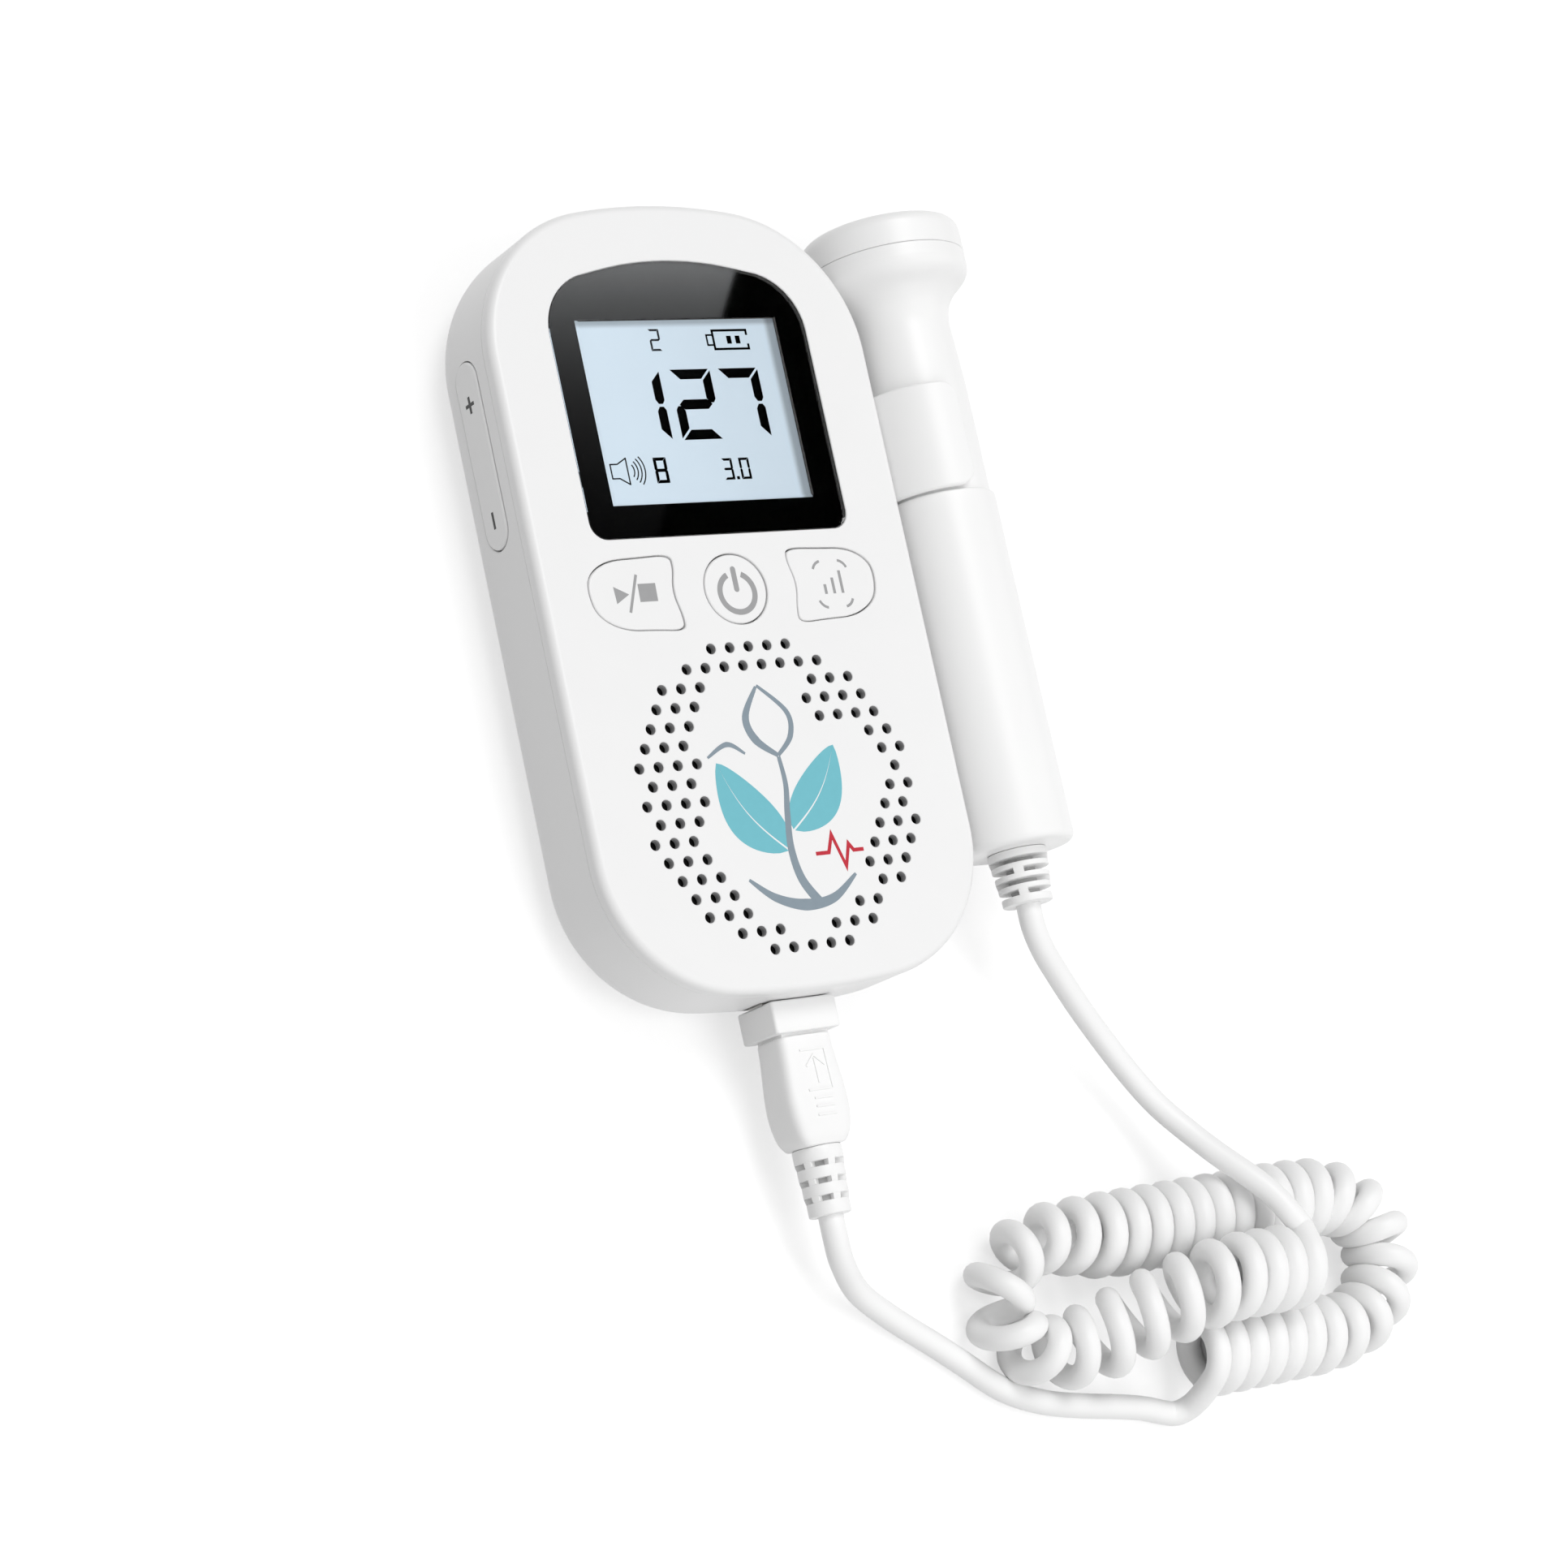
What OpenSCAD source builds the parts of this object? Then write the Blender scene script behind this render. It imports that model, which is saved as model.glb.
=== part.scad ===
// Hand-held heart-sound listener: a flat main unit lying on its back, a probe
// held in a clip on its right wall, and a curly cord from the probe to a plug
// in the unit's bottom end. Millimetres; +X right, +Y towards the probe head,
// +Z out of the front. The origin is on the unit's flat back, under the middle of
// the grille; the modules measure Y from the power button and are then placed.

/* [Main unit] */
// width of the main unit
body_w = 74.6; // [70:0.2:80]
// length of the main unit
body_l = 137.4; // [130:0.2:145]
// thickness of the main unit
body_t = 23; // [21:0.5:26]
// wall thickness of the covers
wall = 2; // [1.6:0.1:2.4]
// radius of the rounded edge at the back
back_round = 9; // [6:0.5:10]
// radius of the rounded edge at the front
front_round = 3; // [2:0.5:4]
// radius of the two corners at the top end
top_corner_r = 26; // [22:1:32]
// rise of the arched top end
top_arch = 7.5; // [5:0.5:10]
// radius of the two corners at the bottom end
bottom_corner_r = 24; // [20:1:30]
// rise of the arched bottom end
bottom_arch = 4.5; // [3:0.5:6]

/* [Display] */
// width of the visible display
window_w = 40; // [38:0.5:42]
// height of the visible display
window_h = 32.6; // [30:0.2:34]
// height of the display's middle above the power button
window_y = 31.8; // [30:0.2:34]

/* [Buttons] */
// diameter of the power button
power_d = 12; // [11:0.2:13]
// gap around each front button
button_gap = 0.25; // [0.2:0.05:0.4]
// length of the volume rocker
rocker_l = 32.4; // [30:0.2:35]
// width of the volume rocker
rocker_w = 7; // [6:0.2:8]

/* [Loudspeaker] */
// distance between neighbouring grille holes
hole_pitch = 3.7; // [3.4:0.1:4]
// diameter of a grille hole
hole_d = 1.85; // [1.6:0.05:2.1]

/* [Probe] */
// distance of the probe's axis from the unit's middle
probe_x = 48.8; // [48.8:0.1:50]
// height of the probe's axis above the table
probe_z = 18; // [17:0.5:19]
// radius of the probe head
head_r = 14.4; // [14:0.2:15]
// radius of the handle's grip
grip_r = 10.2; // [9.9:0.1:10.4]
// radius of the handle where the clip holds it
waist_r = 9.5; // [9.2:0.1:9.5]

/* [Cord] */
// diameter of the straight cords
cord_d = 3.8; // [3.6:0.1:3.8]
// radius of the curls, at the middle of the cord
curl_r = 5.7; // [5.6:0.1:5.7]

/* [Hidden] */
half_l = body_l / 2;
half_w = body_w / 2;
seam_z = body_t - front_round;          // joint between the two covers
lens_t = 1.2;                           // depth of the pocket for the window
grille_y = -35.7;                       // middle of the grille
cell_z = 8.95;                          // axis of the battery cells
plug_z = 11.2;                          // axis of the plug
rocker_y = 28;
rocker_z = 13.2;
pin_x = -33.2;                          // the rocker turns about this line

// ---- outline of the main unit: four corner arcs and two end arches ----
rt = top_corner_r;
rb = bottom_corner_r;
Rt = (half_w * half_w + top_arch * top_arch) / (2 * top_arch);
Rb = (half_w * half_w + bottom_arch * bottom_arch) / (2 * bottom_arch);
cxt = half_w - rt;
cxb = half_w - rb;
ty = half_l - Rt;
by = Rb - half_l;
cyt = ty + sqrt((Rt - rt) * (Rt - rt) - cxt * cxt);
cyb = by - sqrt((Rb - rb) * (Rb - rb) - cxb * cxb);
at = atan2(cxt, cyt - ty);
ab = atan2(cxb, by - cyb);

function arc(x, y, r, a, b, n, first = 0) =
  [for (i = [first:n]) [x + r * cos(a + (b - a) * i / n), y + r * sin(a + (b - a) * i / n)]];

// the outline, moved inwards by d
function outline(d = 0) = concat(
  arc(cxt, cyt, rt - d, 0, 90 - at, 10),
  arc(0, ty, Rt - d, 90 - at, 90 + at, 6, 1),
  arc(-cxt, cyt, rt - d, 90 + at, 180, 10, 1),
  arc(-cxb, cyb, rb - d, 180, 270 - ab, 10),
  arc(0, by, Rb - d, 270 - ab, 270 + ab, 6, 1),
  arc(cxb, cyb, rb - d, 270 + ab, 360, 10, 1));

// a solid through rings of points, from the lowest ring to the highest; where
// its sides are flat between the rings they stay whole, else each is two triangles
module skin(rings, flat = false) {
  n = len(rings[0]);
  m = len(rings);
  polyhedron(
    points = [for (r = rings) each r],
    faces = concat(
      [[for (i = [0:n - 1]) i]],
      [[for (i = [n - 1:-1:0]) (m - 1) * n + i]],
      [for (k = [0:m - 2]) for (i = [0:n - 1]) let (a = k * n + i, b = a + n,
          c = (k + 1) * n + (i + 1) % n, d = k * n + (i + 1) % n)
        each flat ? [[a, b, c, d]] : [[a, b, c], [a, c, d]]]));
}
// steps: [inset, z] from bottom to top
module shell_solid(steps) {
  skin([for (s = steps) [for (p = outline(s[0])) [p[0], p[1], s[1]]]], true);
}
function round_low(r, inset, z, n) =
  [for (i = [0:n]) [inset + r * (1 - cos(90 - 90 * i / n)), z + r * (1 - sin(90 - 90 * i / n))]];
function round_high(r, inset, z, n) =
  [for (i = [0:n]) [inset + r * (1 - cos(90 * i / n)), z + r * sin(90 * i / n)]];

// corners cut n times, for smooth closed outlines from a few points
function cut(p, n) = n == 0 ? p :
  cut([for (i = [0:len(p) - 1]) let (a = p[i], b = p[(i + 1) % len(p)])
    each [0.75 * a + 0.25 * b, 0.25 * a + 0.75 * b]], n - 1);

// ---- front buttons ----
leaf = [[-28.4, 0.3], [-27.9, 3.6], [-24, 6.0], [-18, 6.2], [-11.9, 6.5], [-11.3, 4.6],
  [-12.5, 0.2], [-11.4, -4.2], [-11.5, -6.5], [-17, -6.1], [-23, -5.9], [-27.4, -3.4]];
leaf_cx = -19.5;
function leaf_pts() = cut(leaf, 2);
module leaf_shape(grow = 0) {
  k = 1 + grow / 7;
  polygon([for (p = leaf_pts()) [leaf_cx + (p[0] - leaf_cx) * (1 + grow / 8.5), p[1] * k]]);
}

// ---- window: straight sides, small lower corners, arched top ----
mask_lo = window_y - 22.1;
mask_hi = window_y + 26.5;
mask_w = 25.5;
function mask_pts(d = 0) = concat(
  arc(mask_w - 3, mask_lo + 3, 3 - d, -90, 0, 4),
  arc(mask_w - 11, mask_hi - 13, 11 - d, 0, 72, 7),
  arc(0, mask_hi - 60, 60 - d, 90 - 13.2, 90 + 13.2, 6),
  arc(11 - mask_w, mask_hi - 13, 11 - d, 108, 180, 7),
  arc(3 - mask_w, mask_lo + 3, 3 - d, 180, 270, 4));

// ---- grille: rows of holes in a ring around the print in the middle ----
// each row lists half-pitch places, counted from the middle of the grille
rows = [
  [-4, -2, 0, 2, 4], [-7, -5, -3, -1, 1, 3, 5, 7], [-10, -8, -6, 6, 8, 10],
  [-11, -9, -7, 5, 7, 9, 11], [-12, -10, -8, 6, 8, 10, 12], [-13, -11, -9, 11, 13],
  [-14, -12, -10, -8, 12, 14], [-13, -11, -9, 13], [-14, -12, -10, -8, 12, 14],
  [-13, -11, -9, 11, 13], [-14, -12, -10, 10, 12, 14], [-13, -11, -9, 9, 11, 13],
  [-12, -10, -8, 8, 10, 12], [-11, -9, -7, 9, 11], [-10, -8, -6, 6, 8],
  [-7, -5, -3, 3, 5, 7], [-4, -2, 0, 2, 4]];

// ---- fixing points ----
case_posts = [[-28, 50], [28, 50], [-26, -56], [26, -56]];
board_posts = [[-27, 14], [27, 14], [-27, 42], [27, 42]];

module placed() {
  translate([0, -grille_y, 0]) children();
}

// ================= main unit =================

module back_cover() placed() {
  color("white")
  difference() {
    union() {
      difference() {
        shell_solid(concat(round_low(back_round, 0, 0, 6), [[0, seam_z]]));
        shell_solid(concat(round_low(back_round - wall, wall, wall, 4), [[wall, seam_z + 1]]));
      }
      // battery box and the floor behind the door's track
      translate([-16.2, -9.2, wall - 0.3]) cube([32.4, 60.4, 17 - wall + 0.3]);
      translate([-19, -21, wall - 0.3]) cube([38, 12, 1.5]);
      translate([-19, -10, wall - 0.3]) cube([38, 63, 1.5]);
      // posts for the case screws
      for (p = case_posts) translate([p[0], p[1], 1.2]) cylinder(r = 4, h = 10.8, $fn = 32);
      // bearings of the rocker pin
      translate([-35.6, 26.2, 8.4]) cube([3.8, 3.6, 1.8]);
      translate([-35.6, 26.2, 16.2]) cube([3.8, 3.6, 0.8]);
      // cradle of the plug socket
      translate([-8.5, -66.9, 1.5]) cube([17, 11, 5.5]);
    }
    // room for the two cells, and the box's mouth
    translate([-14.8, -7.2, -1]) cube([29.6, 56.4, 17.15]);
    // track of the door, with its side grooves
    translate([-16.6, -20, -1]) cube([33.2, 71.6, 2.75]);
    translate([-17.6, -20, 0.8]) cube([35.2, 71.6, 0.95]);
    // holes of the case screws
    for (p = case_posts) translate([p[0], p[1], 0]) {
      translate([0, 0, -1]) cylinder(r = 2.9, h = 8, $fn = 32);
      cylinder(r = 1.5, h = 13, $fn = 24);
    }
    // opening of the rocker, round at both ends
    for (s = [-1, 1]) translate([-38.5, rocker_y + s * (rocker_l - rocker_w) / 2, rocker_z])
      rotate([0, 90, 0]) cylinder(r = rocker_w / 2 + 0.25, h = 5, $fn = 32);
    translate([-38.5, rocker_y - (rocker_l - rocker_w) / 2, rocker_z - rocker_w / 2 - 0.25])
      cube([5, rocker_l - rocker_w, rocker_w + 0.5]);
    translate([pin_x, rocker_y, 8]) cylinder(r = 0.8, h = 9.5, $fn = 24);
    // opening for the plug in the bottom wall, and the socket's bed
    translate([-6.9, -70, plug_z - 3.15]) cube([13.8, 4, 6.3]);
    translate([-6.75, -66.2, plug_z - 3.05]) cube([13.5, 13, 7]);
  }
}

module front_cover() placed() {
  color("white")
  difference() {
    union() {
      difference() {
        shell_solid(round_high(front_round, 0, seam_z, 5));
        shell_solid([[wall, seam_z - 1], [wall, seam_z], [wall + 0.8, body_t - wall]]);
      }
      // tongue that enters the back cover
      difference() {
        shell_solid([[wall + 0.1, seam_z - 1.4], [wall + 0.1, seam_z + 0.5]]);
        shell_solid([[wall + 1, seam_z - 2], [wall + 1, seam_z + 0.8]]);
        translate([-40, rocker_y - 18, 15]) cube([9, 36, 5]);
      }
      // screw posts and board posts
      for (p = case_posts) translate([p[0], p[1], 12.1]) cylinder(r = 3.2, h = 9.4, $fn = 32);
      for (p = board_posts) translate([p[0], p[1], 18.15]) cylinder(r = 2.2, h = 3.3, $fn = 24);
      // collar around the loudspeaker
      translate([0, grille_y, 18.2]) difference() {
        cylinder(r = 27.9, h = 3.2, $fn = 64);
        translate([0, 0, -1]) cylinder(r = 27, h = 5, $fn = 64);
      }
    }
    // pocket of the window and the opening behind it
    translate([0, 0, body_t - lens_t]) linear_extrude(3) polygon(mask_pts(-0.1));
    translate([-23.6, window_y - 19.6, 19]) cube([47.2, 39.2, 4]);
    // openings of the buttons
    translate([0, 0, 20]) linear_extrude(5) leaf_shape(button_gap);
    translate([0, 0, 20]) linear_extrude(5) mirror([1, 0]) leaf_shape(button_gap);
    translate([0, 0, 20]) cylinder(d = power_d + 2 * button_gap, h = 5, $fn = 64);
    // grille
    for (j = [0:16]) for (u = rows[j])
      translate([u * hole_pitch / 2, grille_y + (8 - j) * hole_pitch * 0.866, 20])
        cylinder(d = hole_d, h = 5, $fn = 24);
    // threads of the screws
    for (p = case_posts) translate([p[0], p[1], 11]) cylinder(r = 1.32, h = 9.5, $fn = 24);
    for (p = board_posts) translate([p[0], p[1], 17]) cylinder(r = 0.92, h = 3.8, $fn = 24);
  }
}

module grille_cloth() placed() {
  color("black") translate([0, grille_y, 20.68]) cylinder(r = 26.8, h = 0.3, $fn = 64);
}

module lens_mask() placed() {
  color("black") translate([0, 0, body_t - lens_t + 0.02]) difference() {
    linear_extrude(0.28) polygon(mask_pts(0.05));
    translate([-window_w / 2, window_y - window_h / 2, -1]) cube([window_w, window_h, 3]);
  }
}

module display_lens() placed() {
  color("lightblue", 0.4) translate([0, 0, body_t - lens_t + 0.32])
    linear_extrude(0.84) polygon(mask_pts(0.05));
}

module lcd_glass() placed() {
  color("lightgrey") translate([-23, window_y - 19, 19.4]) cube([46, 38, 2.3]);
}

module lcd_backlight() placed() {
  color("white") translate([-23.2, window_y - 19.2, 18.2]) cube([46.4, 38.4, 1.15]);
}

module lcd_pins() placed() {
  color("silver") for (i = [-8:8])
    translate([i * 2.2 - 0.3, window_y - 19.9, 18.12]) cube([0.6, 0.45, 2.2]);
}

module main_board() placed() {
  color("darkgreen") difference() {
    translate([0, 0, 17.1]) linear_extrude(1) polygon([[-31, -9.5], [31, -9.5], [31, 45.5],
      [23.8, 45.5], [23.8, 53], [-23.8, 53], [-23.8, 45.5], [-31, 45.5]]);
    for (p = board_posts) translate([p[0], p[1], 16]) cylinder(r = 1.1, h = 3, $fn = 24);
  }
}

module button_switches() placed() {
  for (x = [-19.5, 0, 19.5]) {
    color("black") translate([x - 2.2, -2.2, 18.12]) cube([4.4, 4.4, 1.1]);
    color("silver") translate([x, 0, 19.22]) cylinder(r = 1.1, h = 0.4, $fn = 24);
  }
}

module board_parts() placed() {
  color([0.12, 0.12, 0.13]) {
    translate([5.4, -8, 18.12]) cube([8, 4.4, 1.3]);
    translate([-13.5, -8.4, 18.12]) cube([6, 4.4, 1.3]);
    translate([5.5, 3.6, 18.12]) cube([7, 5, 1.2]);
    for (i = [0:4]) translate([-28 + i * 2.4, 9, 18.12]) cube([1.2, 0.7, 0.5]);
    for (i = [0:4]) translate([16 + i * 2.4, 9, 18.12]) cube([1.2, 0.7, 0.5]);
  }
}

// a front button: cap, rim behind the cover, and a short stem
module button_rim(x) {
  translate([x, 0, 20.15]) cylinder(r = 1.4, h = 0.2, $fn = 24);
}
module play_stop_button() placed() {
  color("white") {
    translate([0, 0, 20.95]) linear_extrude(2) leaf_shape(0);
    translate([0, 0, 20.3]) linear_extrude(0.65) leaf_shape(0.9);
    button_rim(-19.5);
  }
}
module power_button() placed() {
  color("white") {
    translate([0, 0, 20.95]) cylinder(d = power_d, h = 2, $fn = 64);
    translate([0, 0, 20.3]) cylinder(d = power_d + 1.8, h = 0.65, $fn = 64);
    button_rim(0);
  }
}
module mode_button() placed() {
  color("white") {
    translate([0, 0, 20.95]) linear_extrude(2) mirror([1, 0]) leaf_shape(0);
    translate([0, 0, 20.3]) linear_extrude(0.65) mirror([1, 0]) leaf_shape(0.9);
    button_rim(19.5);
  }
}

module volume_rocker() placed() {
  h = (rocker_l - rocker_w) / 2;
  color("white") difference() {
    union() {
      for (s = [-1, 1]) translate([-37.55, rocker_y + s * h, rocker_z])
        rotate([0, 90, 0]) cylinder(r = rocker_w / 2, h = 3.1, $fn = 32);
      translate([-37.55, rocker_y - h, rocker_z - rocker_w / 2]) cube([3.1, 2 * h, rocker_w]);
      // wings behind the wall, and the bearing block
      for (s = [-1, 1]) translate([-34.5, rocker_y + s * 10 - 6.7, rocker_z - 4.1])
        cube([0.6, 13.4, 8.2]);
      translate([-34.6, rocker_y - 1.7, rocker_z - 2.8]) cube([2.5, 3.4, 5.6]);
    }
    translate([pin_x, rocker_y, 5]) cylinder(r = 0.85, h = 14, $fn = 24);
  }
}

module rocker_pin() placed() {
  color("silver") translate([pin_x, rocker_y, 8.6]) cylinder(r = 0.8, h = 8.3, $fn = 24);
}

module volume_switches() placed() {
  color("black") for (s = [-1, 1])
    translate([-32.9, rocker_y + s * 11 - 2, rocker_z - 2]) cube([1.9, 4, 4]);
}

module side_board() placed() {
  color("darkgreen") translate([-30.98, rocker_y - 15, 9.2]) cube([1, 30, 7.8]);
}

module speaker_gasket() placed() {
  color("black") translate([0, grille_y, 20.1]) difference() {
    cylinder(r = 25, h = 0.56, $fn = 64);
    translate([0, 0, -1]) cylinder(r = 22, h = 3, $fn = 64);
  }
}

module speaker_frame() placed() {
  color("dimgrey") translate([0, grille_y, 0]) rotate_extrude($fn = 64) polygon([
    [22.4, 20.08], [25, 20.08], [25, 18.9], [22.9, 18.9], [14, 13.9], [9, 13.9], [9, 14.9],
    [13.7, 14.9], [22.4, 19.8]]);
}

module speaker_cone() placed() {
  color("black") translate([0, grille_y, 0]) rotate_extrude($fn = 64) polygon([
    [0, 18.6], [4, 18.1], [7.5, 16.3], [12, 17.3], [19, 19.4], [20.5, 20.0], [22.3, 20.0],
    [22.3, 19.86], [20.6, 19.8], [19.1, 19.1], [12, 17.0], [7.5, 15.95], [7.5, 14.95],
    [7.2, 14.95], [7.2, 16.1], [3.9, 17.8], [0, 18.3]]);
}

module speaker_magnet() placed() {
  color("silver") translate([0, grille_y, 0]) {
    difference() {
      translate([0, 0, 8.9]) cylinder(r = 12, h = 4.98, $fn = 48);
      translate([0, 0, 10]) cylinder(r = 8, h = 5, $fn = 48);
    }
    translate([0, 0, 9.5]) cylinder(r = 6.6, h = 6.2, $fn = 48);
  }
}

module battery_cells() placed() {
  for (s = [-1, 1]) translate([s * 7.3, 21 + s * 3.9, cell_z]) rotate([s * 90, 0, 0]) {
    color("steelblue") translate([0, 0, -22.6]) cylinder(r = 7.1, h = 49, $fn = 48);
    color("silver") translate([0, 0, -23.8]) cylinder(r = 2.7, h = 1.2, $fn = 32);
    color("silver") translate([0, 0, 26.4]) cylinder(r = 5.6, h = 0.3, $fn = 32);
  }
}

module battery_contacts() placed() {
  color("silver") for (s = [-1, 1]) {
    translate([-13.5, s > 0 ? 48.7 : -7.15, 3.2]) cube([27, 0.42, 11.5]);
    // spring that presses on the flat end of a cell
    translate([s * 7.3, s < 0 ? 48.68 : -6.72, cell_z]) rotate([s < 0 ? 90 : -90, 0, 0])
      for (i = [0:5]) rotate_extrude($fn = 32)
        translate([5 - i * 0.28, 0.44 + i * 0.8]) circle(r = 0.45, $fn = 16);
  }
}

module battery_door() placed() {
  color("white") difference() {
    union() {
      translate([-16.5, -9.5, 0.15]) cube([33, 61, 1.5]);
      translate([-17.5, -9.5, 0.9]) cube([35, 61, 0.75]);
    }
    // finger grooves
    for (i = [0:4]) translate([-8, -7 + i * 2, -0.35]) cube([16, 0.9, 0.9]);
  }
}

module case_screws() placed() {
  color("silver") for (p = case_posts) translate([p[0], p[1], 0]) difference() {
    union() {
      translate([0, 0, 5.18]) cylinder(r = 2.5, h = 1.8, $fn = 32);
      translate([0, 0, 6.9]) cylinder(r = 1.3, h = 12.4, $fn = 24);
    }
    for (a = [0, 90]) rotate([0, 0, a]) translate([-1.6, -0.3, 4.5]) cube([3.2, 0.6, 1.5]);
  }
}

module board_screws() placed() {
  color("silver") for (p = board_posts) translate([p[0], p[1], 0]) {
    translate([0, 0, 15.9]) cylinder(r = 1.9, h = 1.18, $fn = 32);
    translate([0, 0, 17.05]) cylinder(r = 0.9, h = 3.2, $fn = 24);
  }
}

module socket_board() placed() {
  color("darkgreen") translate([-8, -66, 7.05]) cube([16, 12, 1]);
}

module plug_socket() placed() {
  color("silver") difference() {
    translate([-6.6, -66.1, plug_z - 2.75]) cube([13.2, 12, 5.5]);
    translate([-6.1, -67, plug_z - 2.35]) cube([12.2, 12, 4.7]);
  }
}

// open ring on the right wall that the probe's waist sits in
module probe_clip() placed() {
  r = waist_r + 0.4;
  color("white") difference() {
    union() {
      translate([probe_x, 14.5, probe_z]) rotate([-90, 0, 0]) cylinder(r = r + 1.6, h = 19, $fn = 64);
      translate([half_w - 0.02, 16, probe_z - 8.5]) cube([3, 16, 10.5]);
    }
    translate([probe_x, 10, probe_z]) rotate([-90, 0, 0]) cylinder(r = r, h = 30, $fn = 64);
    translate([probe_x + 1, 10, 0]) cube([20, 30, 40]);
    translate([20, 10, 0]) cube([half_w - 20, 30, 40]);
  }
}

// ================= probe =================

module on_probe() {
  translate([probe_x, 0, probe_z]) rotate([-90, 0, 0]) children();
}
// outside of the handle, from its foot to the seam of the cap
outer = [[0, -48.7], [8.8, -48.7], [10.0, -48.0], [10.4, -46.6], [10.4, -40], [grip_r, 0],
  [grip_r, 13.6], [waist_r, 14.3], [waist_r, 33.8], [9.3, 40], [9.1, 46], [9.6, 49.2],
  [11.2, 51.4], [13.6, 53.4], [head_r, 55], [head_r, 58.2], [0, 58.2]];
inner = [[0, -46.7], [8.4, -46.7], [8.4, 12], [7.7, 14], [7.7, 47], [9.6, 51.6], [12.2, 54.2],
  [12.8, 55.4], [12.8, 59], [0, 59]];
module probe_tube() {
  difference() {
    on_probe() rotate_extrude($fn = 64) polygon(outer);
    on_probe() rotate_extrude($fn = 64) polygon(inner);
    on_probe() translate([0, 0, -50]) cylinder(r = 2.6, h = 6, $fn = 32);
  }
}

module probe_shell_front() placed() {
  color("white") intersection() {
    probe_tube();
    translate([30, -60, probe_z]) cube([40, 130, 20]);
  }
}

module probe_shell_back() placed() {
  color("white") intersection() {
    probe_tube();
    translate([30, -60, probe_z - 20]) cube([40, 130, 20]);
  }
}

module probe_cap() placed() {
  color("white") on_probe() rotate_extrude($fn = 64) polygon([[12.7, 55.6], [12.7, 58.3],
    [head_r, 58.3], [head_r, 62], [13.9, 63.6], [12.9, 64.3], [12, 64.3], [12, 63.2],
    [11.2, 63.2], [11.2, 55.6]]);
}

module probe_face() placed() {
  color("gainsboro") on_probe() {
    translate([0, 0, 63.25]) cylinder(r = 11.9, h = 1, $fn = 64);
    translate([0, 0, 61.6]) cylinder(r = 11.1, h = 1.7, $fn = 64);
  }
}

module crystal_holder() placed() {
  color("dimgrey") on_probe() difference() {
    translate([0, 0, 56]) cylinder(r = 11.1, h = 5.5, $fn = 64);
    translate([0, 0, 60.4]) cylinder(r = 9.6, h = 2, $fn = 48);
  }
}

module crystals() placed() {
  color("silver") on_probe() for (s = [-1, 1]) intersection() {
    translate([0, 0, 60.42]) cylinder(r = 9.4, h = 1.1, $fn = 48);
    translate([s * 5.4 - 5, -10, 60]) cube([10, 20, 3]);
  }
}

module probe_board() placed() {
  color("darkgreen") translate([probe_x - 6.5, -40, probe_z - 0.6]) cube([13, 84, 1.2]);
}

// ribbed sleeve with short slots on alternate sides
module relief(r1, r2, h, hole, n) {
  difference() {
    cylinder(r1 = r1, r2 = r2, h = h, $fn = 40);
    translate([0, 0, -1]) cylinder(r = hole, h = h + 2, $fn = 32);
    for (i = [1:n]) translate([0, 0, i * h / (n + 1) - 0.45]) rotate([0, 0, 90 * i]) difference() {
      cylinder(r = r1 + 1, h = 0.9, $fn = 40);
      translate([0, 0, -1]) cylinder(r = hole + 0.9, h = 3, $fn = 32);
      for (a = [0, 180]) rotate([0, 0, a]) translate([0, -1, -1]) cube([10, 2, 3]);
    }
  }
}

module probe_relief() placed() {
  color("white") translate([probe_x, 0, probe_z]) rotate([90, 0, 0]) {
    translate([0, 0, 48.72]) relief(5.3, 4.3, 9.4, cord_d / 2 + 0.02, 4);
    difference() {
      union() {
        translate([0, 0, 44.8]) cylinder(r = 4, h = 1.8, $fn = 32);
        translate([0, 0, 46]) cylinder(r = 2.55, h = 2.74, $fn = 32);
      }
      translate([0, 0, 44]) cylinder(r = cord_d / 2 + 0.02, h = 6, $fn = 32);
    }
  }
}

// ================= plug =================

module plug_shell() placed() {
  color("silver") difference() {
    translate([-6, -68.8, plug_z - 2.25]) cube([12, 12.2, 4.5]);
    translate([-5.7, -69, plug_z - 1.95]) cube([11.4, 14, 3.9]);
  }
}

module plug_insert() placed() {
  color("black") translate([-5.65, -68.8, plug_z - 1.9]) cube([11.3, 11.4, 1.8]);
}

module plug_collar() placed() {
  color("white") translate([-6.4, -74.3, plug_z - 5.5]) cube([12.8, 5.5, 11]);
}

// grip: a rounded block that swells and then narrows towards the cord
grip_steps = [[-93.2, 4.1, 3.9], [-91.4, 5.2, 4.6], [-88, 5.9, 4.9], [-84, 5.95, 4.8],
  [-78, 5.4, 4.5], [-74.7, 5.2, 4.4]];
module plug_grip() placed() {
  color("white") {
    skin([for (g = grip_steps) [for (i = [0:31]) let (a = 11.25 * i, c = cos(a), s = sin(a))
      [-g[1] * sign(c) * pow(abs(c), 0.5), g[0], plug_z + g[2] * sign(s) * pow(abs(s), 0.5)]]]);
    translate([-4.6, -74.9, plug_z - 3.8]) cube([9.2, 0.6, 7.6]);
  }
}

module plug_relief() placed() {
  color("white") translate([0, 0, plug_z]) rotate([90, 0, 0])
    translate([0, 0, 93.22]) relief(4.1, 3.5, 11.4, cord_d / 2 + 0.02, 3);
}

// ================= cords =================

function unit(v) = v / norm(v);
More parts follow.
